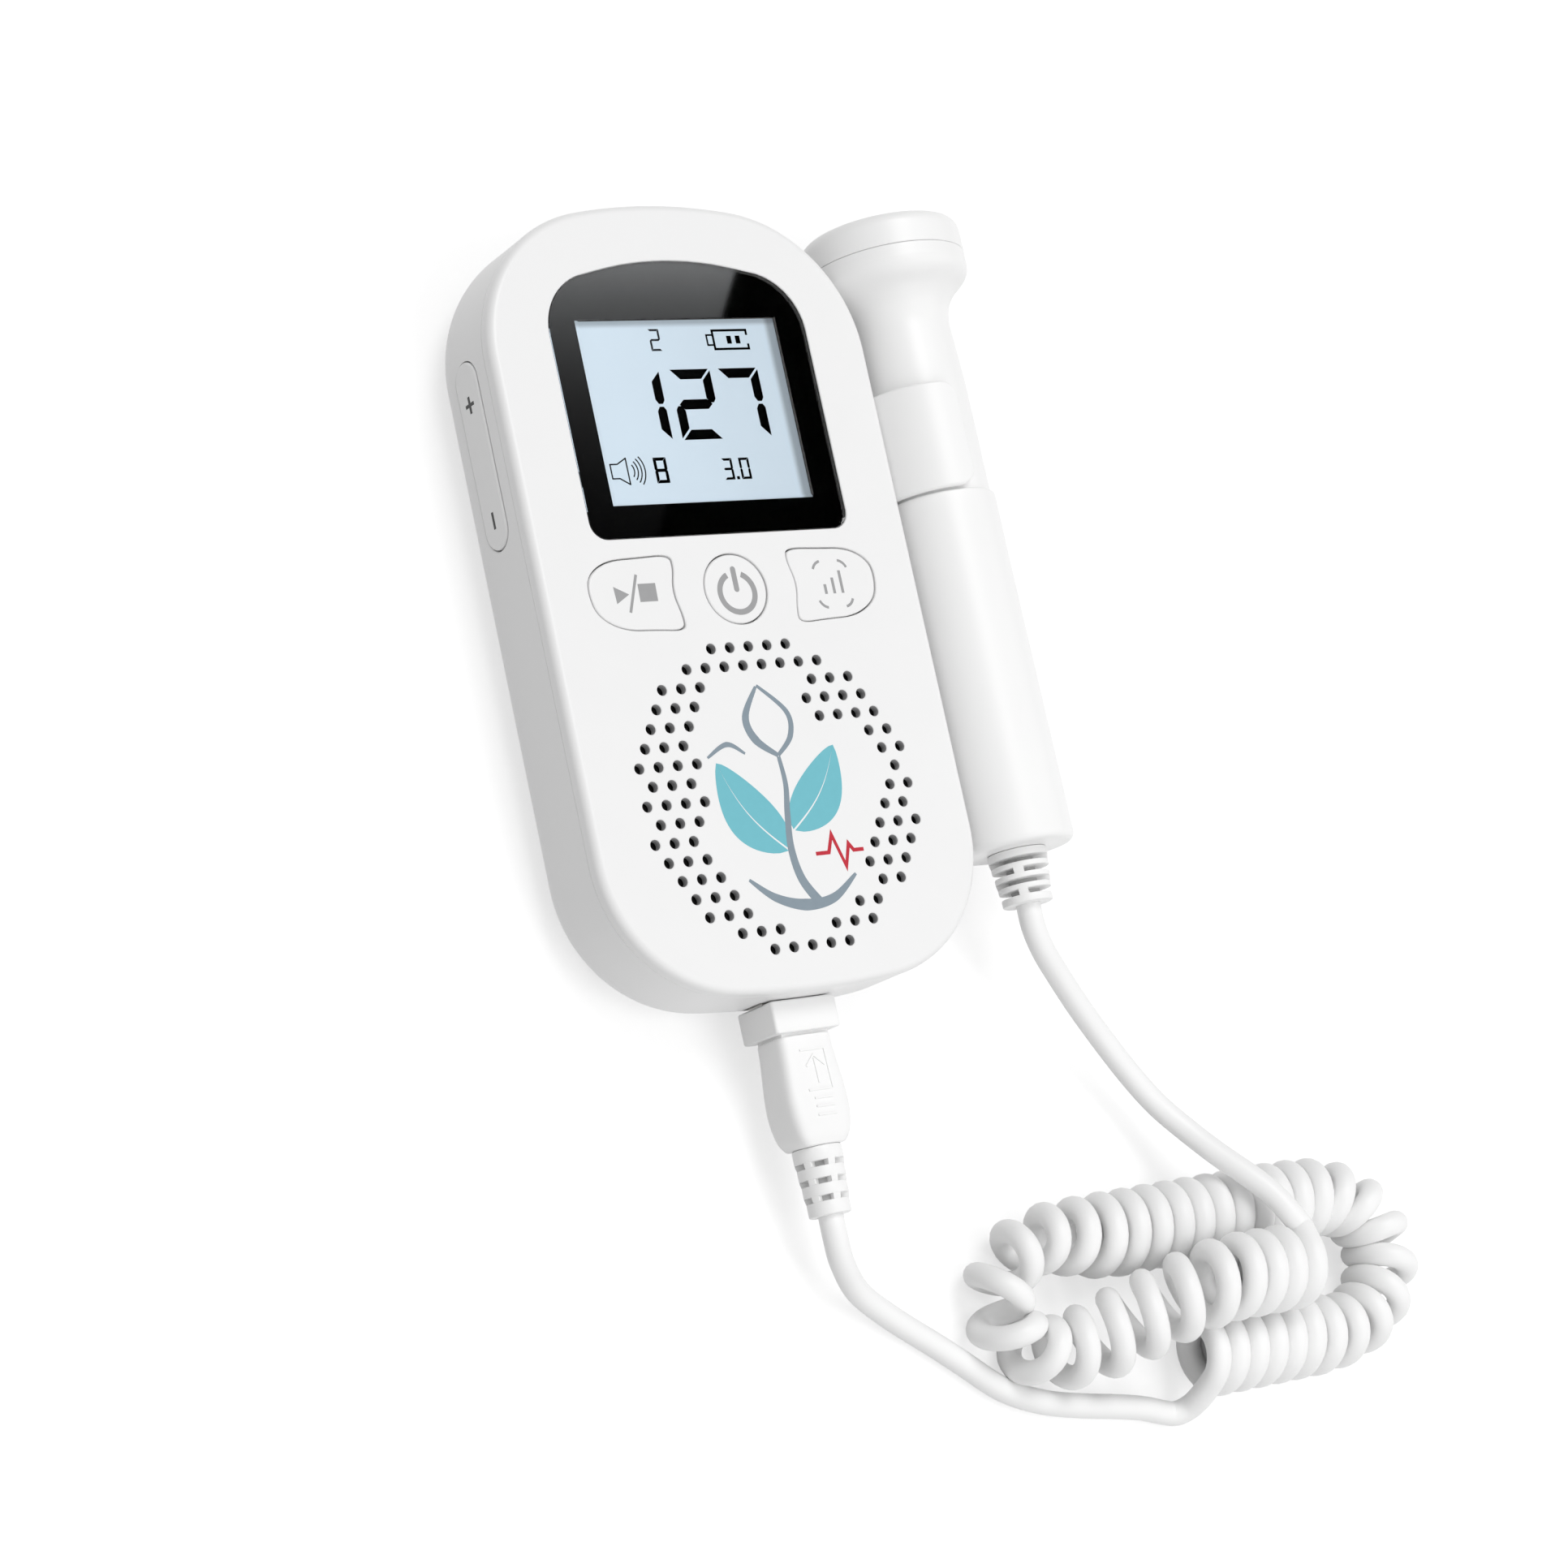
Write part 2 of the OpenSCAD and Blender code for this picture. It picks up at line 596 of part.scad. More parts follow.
// smooth curve through points: n steps between each pair
function spline_at(p, k, t) = let (
    a = p[max(k - 1, 0)], b = p[k], c = p[k + 1], d = p[min(k + 2, len(p) - 1)])
  0.5 * ((2 * b) + (c - a) * t + (2 * a - 5 * b + 4 * c - d) * t * t
    + (3 * b - a - 3 * c + d) * t * t * t);
function spline(p, n) = concat(
  [for (k = [0:len(p) - 2]) for (i = [0:n - 1]) spline_at(p, k, i / n)], [p[len(p) - 1]]);
function tangents(q) = [for (i = [0:len(q) - 1])
  unit(q[min(i + 1, len(q) - 1)] - q[max(i - 1, 0)])];

// rings of m points with radius r around the points q; side gives each ring's first direction
function tube_rings(q, t, side, r, m) = [for (i = [0:len(q) - 1]) let (
    e = unit(side[i] - (side[i] * t[i]) * t[i]), f = cross(t[i], e))
  [for (j = [0:m - 1]) q[i] + r * (cos(360 * j / m) * e + sin(360 * j / m) * f)]];

// probe's cord: out of the relief, down to the table, up over the curls, to their end
probe_pts = [[48.8, -57.9, 18], [48.8, -62, 18], [50.6, -66.2, 16.9], [54.2, -70.6, 14.8],
  [58.2, -75.2, 12.6], [62, -79.6, 10.9], [66, -84.6, 9.6], [69.8, -89.8, 9],
  [73.4, -95, 9.4], [76.8, -100, 11.2], [79.8, -105, 14], [82.8, -109.6, 17],
  [85.4, -113.8, 19.4], [87.1, -117.6, 20.9]];
// plug's cord: out of the relief, down to the table, along it to the first curl
plug_pts = [[0, -104.6, 11.2], [0, -108.6, 11.2], [1.6, -112.6, 9.2], [6, -117.4, 5.4],
  [12.4, -122, 3], [19.4, -127, 2.1], [26, -132.3, 2], [32.6, -137.6, 2], [40, -141, 2],
  [48, -143, 2], [55, -144.3, 2], [60.5, -145.5, 2], [65, -147, 2],
  [67.4, -147.6, 2.6], [69.3, -147, 4.3]];

// line that the curls follow: front run, right bend, back run, left bend, and a last run that
// climbs from the table to lie on top of the other two
curl_z = curl_r + cord_d / 2 + 0.1;
yf = -138.8;
yb = -115.4;
ym = (yf + yb) / 2;
top_z = curl_z + sqrt(pow(2 * curl_r + cord_d + 0.8, 2) - pow((yb - yf) / 2, 2));
axis_pts = [[70.6, yf, curl_z], [78, yf, curl_z], [85, yf, curl_z], [92, yf, curl_z],
  [99, yf + 0.1, curl_z], [106.6, -137.2, curl_z], [112.8, -132.8, curl_z],
  [115.2, -126.6, curl_z], [112.8, -120.4, curl_z], [106.6, -116.4, curl_z], [98, yb, curl_z],
  [90, yb, curl_z], [80, yb, curl_z], [70, yb, curl_z], [60, yb, curl_z], [51, yb, curl_z],
  [42.6, -115.9, curl_z], [35.4, -118.9, curl_z], [31.9, -125, curl_z],
  [34.8, -131.2, curl_z], [42, -133.6, curl_z + 0.6], [50.4, -132.4, curl_z + 3.4],
  [58.6, -129.9, top_z - 3.4], [66.4, -127.9, top_z - 0.5], [73, ym, top_z], [80, ym, top_z],
  [100, ym, top_z]];
axis_q = spline(axis_pts, 8);
axis_s = [for (i = 0, s = 0; i < len(axis_q);
  s = s + norm(axis_q[min(i + 1, len(axis_q) - 1)] - axis_q[i]), i = i + 1) s];
function axis_at(s) = [for (k = [0:2])
  lookup(s, [for (i = [0:len(axis_q) - 1]) [axis_s[i], axis_q[i][k]]])];
function axis_dir(s) = unit(axis_at(s + 1.5) - axis_at(s - 1.5));
// distance between neighbouring curls along that line, and how much the curls are squeezed
// sideways where the line bends
pitch_s = [0, 20, 36, 57, 68, 84, 96, 110, 124, 132, 157, 166, 180, 190, 197, 400];
pitch_v = [4.3, 4.3, 7.6, 7.6, 5.8, 4.4, 4.6, 5.2, 5.8, 9.8, 9, 7.4, 6.8, 5.9, 4.4, 4.3];
squeeze_s = [0, 26, 38, 60, 74, 120, 132, 156, 170, 400];
squeeze_v = [1, 1, 0.72, 0.72, 1, 1, 0.7, 0.7, 1, 1];
function along(s, at, v) = lookup(s, [for (i = [0:len(at) - 1]) [at[i], v[i]]]);
function pitch_at(s) = along(s, pitch_s, pitch_v);
per_curl = 8;
curls_n = 282;
curl_s = [for (i = 0, s = 0; i <= curls_n; s = s + pitch_at(s) / per_curl, i = i + 1) s];
function curl_out(i, s) = let (a = 150 - 360 * i / per_curl, w = axis_dir(s),
    side = unit(cross([0, 0, 1], w)))
  cos(a) * along(s, squeeze_s, squeeze_v) * side + sin(a) * cross(w, side);
function curl_pt(i, s) = axis_at(s) + curl_r * curl_out(i, s);
function curl_dir(i, s) = let (d = 0.1 * pitch_at(s) / per_curl)
  unit(curl_pt(i + 0.1, s + d) - curl_pt(i - 0.1, s - d));
// the rings, with one more at each end, a cord's thickness straight on
function ends(v) = concat([v[0]], v, [v[curls_n]]);
curl_t = ends([for (i = [0:curls_n]) curl_dir(i, curl_s[i])]);
curl_side = ends([for (i = [0:curls_n]) curl_out(i, curl_s[i])]);
curl_on = ends([for (i = [0:curls_n]) curl_pt(i, curl_s[i])]);
last = curls_n + 2;
curl_q = [for (i = [0:last]) curl_on[i]
  + (i == 0 ? -cord_d : i == last ? cord_d : 0) * curl_t[i]];
// least gap between the curls, from each point to every point over half a curl on
function least_gap(q) = min([for (i = [0:len(q) - 6]) for (j = [i + 5:len(q) - 1])
  norm(q[i] - q[j])]) - cord_d;

module curly_cord() placed() {
  echo(least_gap_mm = least_gap(curl_q));
  color("white") skin(tube_rings(curl_q, curl_t, curl_side, cord_d / 2, 6));
}

// straight cords end on the curls' first and last rings, in their direction
plug_line = spline(concat(plug_pts, [curl_q[0]]), 2);
probe_line = spline(concat(probe_pts, [curl_q[last]]), 2);
module straight_cord(q, end_t, side) {
  t = tangents(q);
  color("white") skin(tube_rings(q, [for (i = [0:len(q) - 1]) i < len(q) - 1 ? t[i] : end_t],
    [for (p = q) side], cord_d / 2, 8));
}
module plug_cord() placed() {
  straight_cord(plug_line, curl_t[0], [-0.4, 1, 0.1]);
}
module probe_cord() placed() {
  straight_cord(probe_line, -curl_t[last], [1, 0.4, 0.1]);
}

back_cover();
front_cover();
grille_cloth();
lens_mask();
display_lens();
lcd_glass();
lcd_backlight();
lcd_pins();
main_board();
button_switches();
board_parts();
play_stop_button();
power_button();
mode_button();
volume_rocker();
rocker_pin();
volume_switches();
side_board();
speaker_gasket();
speaker_frame();
speaker_cone();
speaker_magnet();
battery_cells();
battery_contacts();
battery_door();
case_screws();
board_screws();
socket_board();
plug_socket();
probe_clip();
probe_shell_front();
probe_shell_back();
probe_cap();
probe_face();
crystal_holder();
crystals();
probe_board();
probe_relief();
plug_shell();
plug_insert();
plug_collar();
plug_grip();
plug_relief();
probe_cord();
curly_cord();
plug_cord();
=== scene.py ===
"""Looks of the heart-sound listener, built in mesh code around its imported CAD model."""

import math

import bmesh
import bpy
from mathutils import Matrix, Vector

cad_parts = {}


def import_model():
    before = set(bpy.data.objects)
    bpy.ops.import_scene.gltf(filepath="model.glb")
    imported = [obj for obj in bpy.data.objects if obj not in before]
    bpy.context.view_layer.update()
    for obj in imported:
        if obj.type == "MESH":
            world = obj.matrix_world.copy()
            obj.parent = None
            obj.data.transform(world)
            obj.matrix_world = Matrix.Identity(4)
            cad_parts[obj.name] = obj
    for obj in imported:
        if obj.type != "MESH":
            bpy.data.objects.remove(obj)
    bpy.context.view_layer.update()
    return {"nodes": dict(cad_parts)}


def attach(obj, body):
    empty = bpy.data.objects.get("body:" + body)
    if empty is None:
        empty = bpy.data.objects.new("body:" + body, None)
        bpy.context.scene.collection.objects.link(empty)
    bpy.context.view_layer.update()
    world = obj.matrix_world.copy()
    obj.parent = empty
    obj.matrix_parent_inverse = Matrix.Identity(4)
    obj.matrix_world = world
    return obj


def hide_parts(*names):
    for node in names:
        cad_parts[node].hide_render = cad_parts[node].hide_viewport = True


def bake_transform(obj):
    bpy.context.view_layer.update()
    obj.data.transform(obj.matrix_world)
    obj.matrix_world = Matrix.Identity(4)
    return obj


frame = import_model()

MM = 0.001
UP = 35.7   # part.scad measures y from the power button, the frame from the grille's middle


# ---------------------------------------------------------------- camera
def make_camera():
    """The photograph's camera, solved from the lattice of grille holes and the outline."""
    data = bpy.data.cameras.new("camera")
    data.lens = 91.77
    data.sensor_width = 36
    data.clip_start, data.clip_end = 0.01, 50
    cam = bpy.data.objects.new("camera", data)
    bpy.context.scene.collection.objects.link(cam)
    right = Vector((0.8307, -0.2084, 0.5163)).normalized()
    forward = Vector((0.5512, 0.1775, -0.8153)).normalized()
    up = right.cross(forward).normalized()
    right = forward.cross(up)
    turn = Matrix((right, up, -forward)).transposed().to_4x4()
    cam.matrix_world = Matrix.Translation(Vector((-0.3637, -0.1158, 0.5626))) @ turn
    bpy.context.scene.camera = cam


make_camera()
bpy.context.scene.view_settings.view_transform = "Standard"


# ---------------------------------------------------------------- shader nodes
def principled(name):
    m = bpy.data.materials.new(name)
    m.use_nodes = True
    return m, m.node_tree, m.node_tree.nodes["Principled BSDF"]


def object_space(nt):
    return nt.nodes.new("ShaderNodeTexCoord").outputs["Object"]


def coordinates(nt):
    """X, Y and Z in object space, in metres."""
    parts = nt.nodes.new("ShaderNodeSeparateXYZ")
    nt.links.new(object_space(nt), parts.inputs[0])
    return parts.outputs


def noise(nt, where, scale, detail):
    node = nt.nodes.new("ShaderNodeTexNoise")
    node.inputs["Scale"].default_value = scale
    node.inputs["Detail"].default_value = detail
    nt.links.new(where, node.inputs["Vector"])
    return node.outputs["Fac"]


def calc(nt, operation, a, b=None):
    """Math node; each input is a number or another node's output."""
    node = nt.nodes.new("ShaderNodeMath")
    node.operation = operation
    for socket, value in zip(node.inputs, (a, b)):
        if isinstance(value, (int, float)):
            socket.default_value = value
        elif value is not None:
            nt.links.new(value, socket)
    return node.outputs[0]


def remap(nt, value, source=(0, 1), target=(0, 1), smooth=False):
    """Map Range node from the source range to the target range."""
    node = nt.nodes.new("ShaderNodeMapRange")
    if smooth:
        node.interpolation_type = "SMOOTHSTEP"
    for key, end in zip(("From Min", "From Max", "To Min", "To Max"), (*source, *target)):
        node.inputs[key].default_value = end
    nt.links.new(value, node.inputs["Value"])
    return node.outputs["Result"]


def seen_by(nt, *rays):
    """1 for the named kinds of ray, 0 for the others."""
    path = nt.nodes.new("ShaderNodeLightPath")
    level = path.outputs[rays[0]]
    for ray in rays[1:]:
        level = calc(nt, "MAXIMUM", level, path.outputs[ray])
    return level


# ---------------------------------------------------------------- materials
MIX_A, MIX_B, MIX_RESULT = 6, 7, 2   # colour sockets of a Mix node


def stuff(name, color, rough, vary=0.03, scale=300, grain=0.0, grain_scale=3500, **sockets):
    """Principled material: colour and roughness drift with a slow noise, bump has a fine grain."""
    m, nt, shader = principled(name)
    where = object_space(nt)
    slow = noise(nt, where, scale, 3)
    tint = nt.nodes.new("ShaderNodeMix")
    tint.data_type = "RGBA"
    tint.inputs[MIX_A].default_value = (*[c * (1 - vary) for c in color], 1)
    tint.inputs[MIX_B].default_value = (*[min(1, c * (1 + vary)) for c in color], 1)
    nt.links.new(slow, tint.inputs[0])
    nt.links.new(tint.outputs[MIX_RESULT], shader.inputs["Base Color"])
    drift = remap(nt, slow, target=(rough * 0.85, min(1, rough * 1.15)))
    nt.links.new(drift, shader.inputs["Roughness"])
    if grain:
        bump = nt.nodes.new("ShaderNodeBump")
        bump.inputs["Strength"].default_value = grain
        bump.inputs["Distance"].default_value = 0.0001
        nt.links.new(noise(nt, where, grain_scale, 2), bump.inputs["Height"])
        nt.links.new(bump.outputs["Normal"], shader.inputs["Normal"])
    for key, value in sockets.items():
        shader.inputs[key.replace("_", " ")].default_value = value
    return m


# a lighter copy of the white plastic for the probe, its cap and the clip: painted light that brightens them
PROBE_WHITE_PAINTED_LIGHT = stuff("probe_plastic_painted_light", (0.955, 0.955, 0.953), 0.34, 0.008, 120, 0.06, 5000)
MATS = {
    "white_gloss": stuff("white_plastic", (0.90, 0.90, 0.90), 0.34, 0.008, 120, 0.06, 5000),
    "white_flex": stuff("flexible_pvc", (0.94, 0.94, 0.938), 0.42, 0.012, 200, 0.05, 4000),
    "black_gloss": stuff("black_print", (0.0008, 0.0008, 0.0009), 0.5, 0.2, 90, Specular_IOR_Level=0.0),
    "diffuser": stuff("frosted_white", (0.8, 0.82, 0.83), 0.5),
    "bright_metal": stuff("nickel", (0.72, 0.71, 0.69), 0.26, 0.03, 500, 0.03, 5000, Metallic=1.0),
    "board_green": stuff("solder_mask", (0.02, 0.13, 0.05), 0.35, 0.15, 500, 0.1, 2500),
    "black_parts": stuff("black_moulding", (0.02, 0.02, 0.022), 0.5, 0.1, 400, 0.2, 4000),
    "grille_black": stuff("grille_cloth", (0.012, 0.012, 0.012), 0.9, 0.3, 1800, 0.8, 2600),
    "foam_black": stuff("foam", (0.02, 0.02, 0.02), 0.95, 0.3, 2500, 0.9, 3500),
    "frame_grey": stuff("grey_moulding", (0.12, 0.12, 0.125), 0.45, 0.08, 300, 0.15, 4000),
    "cone_black": stuff("cone_film", (0.02, 0.02, 0.022), 0.4, 0.1, 250),
    "magnet_metal": stuff("magnet_plate", (0.35, 0.35, 0.36), 0.35, 0.08, 350, 0.2, 3000, Metallic=1.0),
    "cell_jacket": stuff("cell_jacket", (0.06, 0.16, 0.24), 0.3, 0.1, 200, Metallic=0.6),
    "probe_face_grey": stuff("probe_face", (0.62, 0.63, 0.64), 0.3, 0.03, 250, 0.05, 3000),
    "ceramic": stuff("silvered_ceramic", (0.66, 0.63, 0.55), 0.4, 0.06, 600, 0.1, 3000),
}
INK = stuff("lcd_ink", (0.001, 0.001, 0.0012), 0.6, 0.2, 900, Specular_IOR_Level=0.0)
INK_THIN = stuff("lcd_ink_thin", (0.02, 0.022, 0.026), 0.6, 0.2, 900, Specular_IOR_Level=0.0)
SIGN = stuff("sign_grey", (0.36, 0.36, 0.365), 0.45, 0.05, 900)
MARK = stuff("mark_dark", (0.008, 0.008, 0.009), 0.45, 0.08, 900)
# painted shade inside the grille holes: grey in their upper part, black in their lower part
HOLE_SHADE = stuff("hole_wall", (0.5, 0.5, 0.505), 0.5, 0.06, 900)
HOLE_DEEP_SHADE = stuff("hole_wall_painted_deep_shade", (0.01, 0.01, 0.011), 0.7, 0.2, 900)
RECESS_SHADE = stuff("recess_shade", (0.5, 0.5, 0.5), 0.6, 0.03, 900)
TEAL = stuff("print_teal", (0.17, 0.52, 0.60), 0.4, 0.03, 700)
SLATE = stuff("print_slate", (0.25, 0.31, 0.36), 0.4, 0.06, 700)
RED = stuff("print_red", (0.55, 0.02, 0.04), 0.4, 0.06, 700)


def glass():
    """Clear pane; over the display it is coated against reflections, so its index is low there."""
    m = stuff("window_pane", (1, 1, 1), 0.015, 0.0, 200, Transmission_Weight=1.0)
    nt = m.node_tree
    at = coordinates(nt)
    outside = []
    for axis, centre, half in (("X", 0.0, 0.0196), ("Y", 0.0675, 0.0159)):
        away = calc(nt, "ABSOLUTE", calc(nt, "SUBTRACT", at[axis], centre))
        outside.append(remap(nt, away, source=(half, half + 0.0003)))
    index = remap(nt, calc(nt, "MAXIMUM", *outside), target=(1.08, 1.47))
    nt.links.new(index, nt.nodes["Principled BSDF"].inputs["IOR"])
    return m


def lcd():
    """Backlit panel: pale blue, greyer to the right, with a painted shade band of the recess along its
    right and top edges.
    """
    m, nt, shader = principled("lcd_backlit")
    at = coordinates(nt)
    level = remap(nt, noise(nt, object_space(nt), 60, 2), target=(0.97, 1.03))
    # the second and third rows darken the right and top edges: painted shade of the recess wall
    for axis, source, target in (("X", (-0.018, 0.018), (1.0, 0.9)),
                                 ("X", (0.0176, 0.0190), (1.0, 0.42)),
                                 ("Y", (0.0823, 0.0834), (1.0, 0.55))):
        level = calc(nt, "MULTIPLY", level, remap(nt, at[axis], source, target, smooth=True))
    shader.inputs["Base Color"].default_value = (0.03, 0.033, 0.036, 1)
    shader.inputs["Roughness"].default_value = 0.5
    shader.inputs["Emission Color"].default_value = (0.575, 0.69, 0.785, 1)
    nt.links.new(level, shader.inputs["Emission Strength"])
    return m


MATS["clear_window"] = glass()
MATS["lcd_panel"] = lcd()

for node in frame["nodes"].values():
    for s in node.material_slots:
        s.material = MATS[s.material.name.split(".")[0]]


# ---------------------------------------------------------------- mesh building, in millimetres
class Build:
    """Gathers closed lofts and prisms, in part.scad's millimetres, and turns them into one object."""

    def __init__(self):
        self.v, self.f = [], []

    def loft(self, rings, caps=True, loop=False):
        base, n, m = len(self.v), len(rings[0]), len(rings)
        for r in rings:
            self.v += [tuple(p) for p in r]
        for k in range(m if loop else m - 1):
            a, b = base + k * n, base + (k + 1) % m * n
            for i in range(n):
                j = (i + 1) % n
                self.f.append((a + i, a + j, b + j, b + i))
        if caps and not loop:
            self.f.append(tuple(range(base, base + n)))
            self.f.append(tuple(range(base + (m - 1) * n, base + m * n)))
        return self

    def prism(self, pts, z0, z1):
        return self.loft([[(x, y, z0) for x, y in pts], [(x, y, z1) for x, y in pts]])

    def box(self, lo, hi):
        (x0, y0, z0), (x1, y1, z1) = lo, hi
        return self.prism([(x0, y0), (x1, y0), (x1, y1), (x0, y1)], z0, z1)

    def object(self, name, material=None):
        me = bpy.data.meshes.new(name)
        me.from_pydata([((x) * MM, (y + UP) * MM, z * MM) for x, y, z in self.v], [], self.f)
        bm = bmesh.new()
        bm.from_mesh(me)
        bmesh.ops.recalc_face_normals(bm, faces=bm.faces)
        bm.to_mesh(me)
        bm.free()
        ob = bpy.data.objects.new(name, me)
        bpy.context.scene.collection.objects.link(ob)
        if material:
            me.materials.append(material)
        return ob


def boolean(ob, cutter, operation="DIFFERENCE"):
    """Cuts or joins with the EXACT solver and keeps the result."""
    other = cutter.object("cutter") if isinstance(cutter, Build) else cutter
    mod = ob.modifiers.new("cut", "BOOLEAN")
    mod.operation, mod.object, mod.solver = operation, other, "EXACT"
    done = bpy.data.meshes.new_from_object(ob.evaluated_get(bpy.context.evaluated_depsgraph_get()))
    ob.modifiers.clear()
    old, ob.data = ob.data, done
    done.name = old.name
    bpy.data.meshes.remove(old)
    bpy.data.objects.remove(other)


def dress(ob, body, replaces=(), angle=32, weighted=True):
    ob.data.polygons.foreach_set("use_smooth", [True] * len(ob.data.polygons))
    ob.data.set_sharp_from_angle(angle=math.radians(angle))
    if weighted:
        mod = ob.modifiers.new("normals", "WEIGHTED_NORMAL")
        mod.keep_sharp = True
    if body:
        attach(ob, body)
    if replaces:
        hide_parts(*replaces)
    return ob


def arc(x, y, r, a, b, n, first=0):
    """Points of an arc about (x, y) from a to b degrees, in n steps."""
    return [(x + r * math.cos(math.radians(a + (b - a) * i / n)),
             y + r * math.sin(math.radians(a + (b - a) * i / n))) for i in range(first, n + 1)]


def circle(x, y, r, n=48):
    return arc(x, y, r, 0, 360 - 360 / n, n - 1)


def rounding(r, n, first=0):
    """(inset, rise) along a quarter round, from the side up to the face."""
    return [(r * (1 - math.cos(math.pi / 2 * i / n)), r * math.sin(math.pi / 2 * i / n))
            for i in range(first, n + 1)]


def spline(p, n, ghost_end=None):
    """Catmull-Rom through the points, n steps a span, as in the source."""
    p = [Vector(q) for q in p]
    out = []
    for k in range(len(p) - 1):
        a, b, c = p[max(k - 1, 0)], p[k], p[k + 1]
        d = p[k + 2] if k + 2 < len(p) else (Vector(ghost_end) if ghost_end else p[-1])
        for i in range(n):
            t = i / n
            out.append(0.5 * ((2 * b) + (c - a) * t + (2 * a - 5 * b + 4 * c - d) * t * t
                              + (3 * b - a - 3 * c + d) * t * t * t))
    return out + [p[-1]]


# ---------------------------------------------------------------- cords
CORD_D = 3.8                 # the solids' cord
TUBE_D = 4.3                 # the cord as drawn
CURL_R, CURL_Z = 5.7, 7.7    # radius of the curls' centre line, height of their middle in the lower runs
YF, YB = -138.8, -115.4      # front and back run
YM = (YF + YB) / 2           # the run that lies on top of those two
STACK_GAP = 0.8
TOP_Z = CURL_Z + math.sqrt((2 * CURL_R + CORD_D + STACK_GAP) ** 2 - ((YB - YF) / 2) ** 2)
AXIS = spline([
    (70.6, YF, CURL_Z), (78, YF, CURL_Z), (85, YF, CURL_Z), (92, YF, CURL_Z), (99, YF + 0.1, CURL_Z),
    (106.6, -137.2, CURL_Z), (112.8, -132.8, CURL_Z), (115.2, -126.6, CURL_Z), (112.8, -120.4, CURL_Z),
    (106.6, -116.4, CURL_Z), (98, YB, CURL_Z), (90, YB, CURL_Z), (80, YB, CURL_Z), (70, YB, CURL_Z),
    (60, YB, CURL_Z), (51, YB, CURL_Z), (42.6, -115.9, CURL_Z), (35.4, -118.9, CURL_Z),
    (31.9, -125, CURL_Z), (34.8, -131.2, CURL_Z), (42, -133.6, CURL_Z + 0.6),
    (50.4, -132.4, CURL_Z + 3.4),
    (58.6, -129.9, TOP_Z - 3.4), (66.4, -127.9, TOP_Z - 0.5), (73, YM, TOP_Z), (80, YM, TOP_Z),
    (100, YM, TOP_Z)], 8)
AXIS_S = [0.0]
for p, q in zip(AXIS, AXIS[1:]):
    AXIS_S.append(AXIS_S[-1] + (q - p).length)
# (distance along AXIS, value) tables; pitches are in millimetres a curl
SOURCE_PITCH = [(0, 4.3), (20, 4.3), (36, 7.6), (57, 7.6), (68, 5.8), (84, 4.4), (96, 4.6),
                (110, 5.2), (124, 5.8), (132, 9.8), (157, 9), (166, 7.4), (180, 6.8), (190, 5.9),
                (197, 4.4), (400, 4.3)]
# drawn: closer at the bends, where each curl is narrower and sits further out
PITCH = [(0, 4.35), (20, 4.35), (34, 5.4), (60, 5.4), (68, 4.6), (96, 4.5), (112, 5.0), (126, 6.4),
         (140, 7.0), (155, 6.6), (164, 6.8), (180, 6.6), (190, 5.7), (197, 4.4), (400, 4.35)]
SQUEEZE = [(0, 1), (24, 1), (36, 0.76), (58, 0.76), (72, 1), (116, 1), (130, 0.7), (152, 0.7), (168, 1),
           (400, 1)]
# how the narrowing is shared: 1 leaves the curls' outer side in place, 0 their middle
OUTWARD = [(0, 1), (134, 1), (143, 0.3), (150, 0), (400, 0)]
PER_CURL = 8        # steps to a curl
CURLS_N = 282       # steps of the solid's curls
FIRST_ANGLE = 150   # where the first curl begins, degrees
probe_pts = [(48.8, -57.9, 18), (48.8, -62, 18), (50.6, -66.2, 16.9), (54.2, -70.6, 14.8),
             (58.2, -75.2, 12.6), (62, -79.6, 10.9), (66, -84.6, 9.6), (69.8, -89.8, 9),
             (73.4, -95, 9.4), (76.8, -100, 11.2), (79.8, -105, 14), (82.8, -109.6, 17),
             (85.4, -113.8, 19.4), (87.1, -117.6, 20.9)]
plug_pts = [(0, -104.6, 11.2), (0, -108.6, 11.2), (1.6, -112.6, 9.2), (6, -117.4, 5.4),
            (12.4, -122, 3), (19.4, -127, 2.1), (26, -132.3, 2), (32.6, -137.6, 2), (40, -141, 2),
            (48, -143, 2), (55, -144.3, 2), (60.5, -145.5, 2), (65, -147, 2),
            (67.4, -147.6, 2.6), (69.3, -147, 4.3)]


def lookup(s, at, values):
    """Value at s in a table, straight between its rows."""
    if s <= at[0]:
        return values[0]
    for a, b, u, v in zip(at, at[1:], values, values[1:]):
        if s <= b:
            return u + (v - u) * ((s - a) / (b - a))
    return values[-1]


def axis_at(s):
    return lookup(s, AXIS_S, AXIS)


def curl_marks(pitch, steps):
    """Distances along AXIS of the curls' steps, for a table of pitches."""
    marks = [0.0]
    for _ in range(steps):
        marks.append(marks[-1] + lookup(marks[-1], *zip(*pitch)) / PER_CURL)
    return marks


CURLS_END = curl_marks(SOURCE_PITCH, CURLS_N)[-1]
# as many whole curls more as the closer pitch leaves room for, so that both ends stay in place
DRAWN_N = CURLS_N
while curl_marks(PITCH, DRAWN_N + PER_CURL)[-1] < CURLS_END * 1.01:
    DRAWN_N += PER_CURL
curl_s = curl_marks(PITCH, DRAWN_N)
curl_s = [q * CURLS_END / curl_s[-1] for q in curl_s]


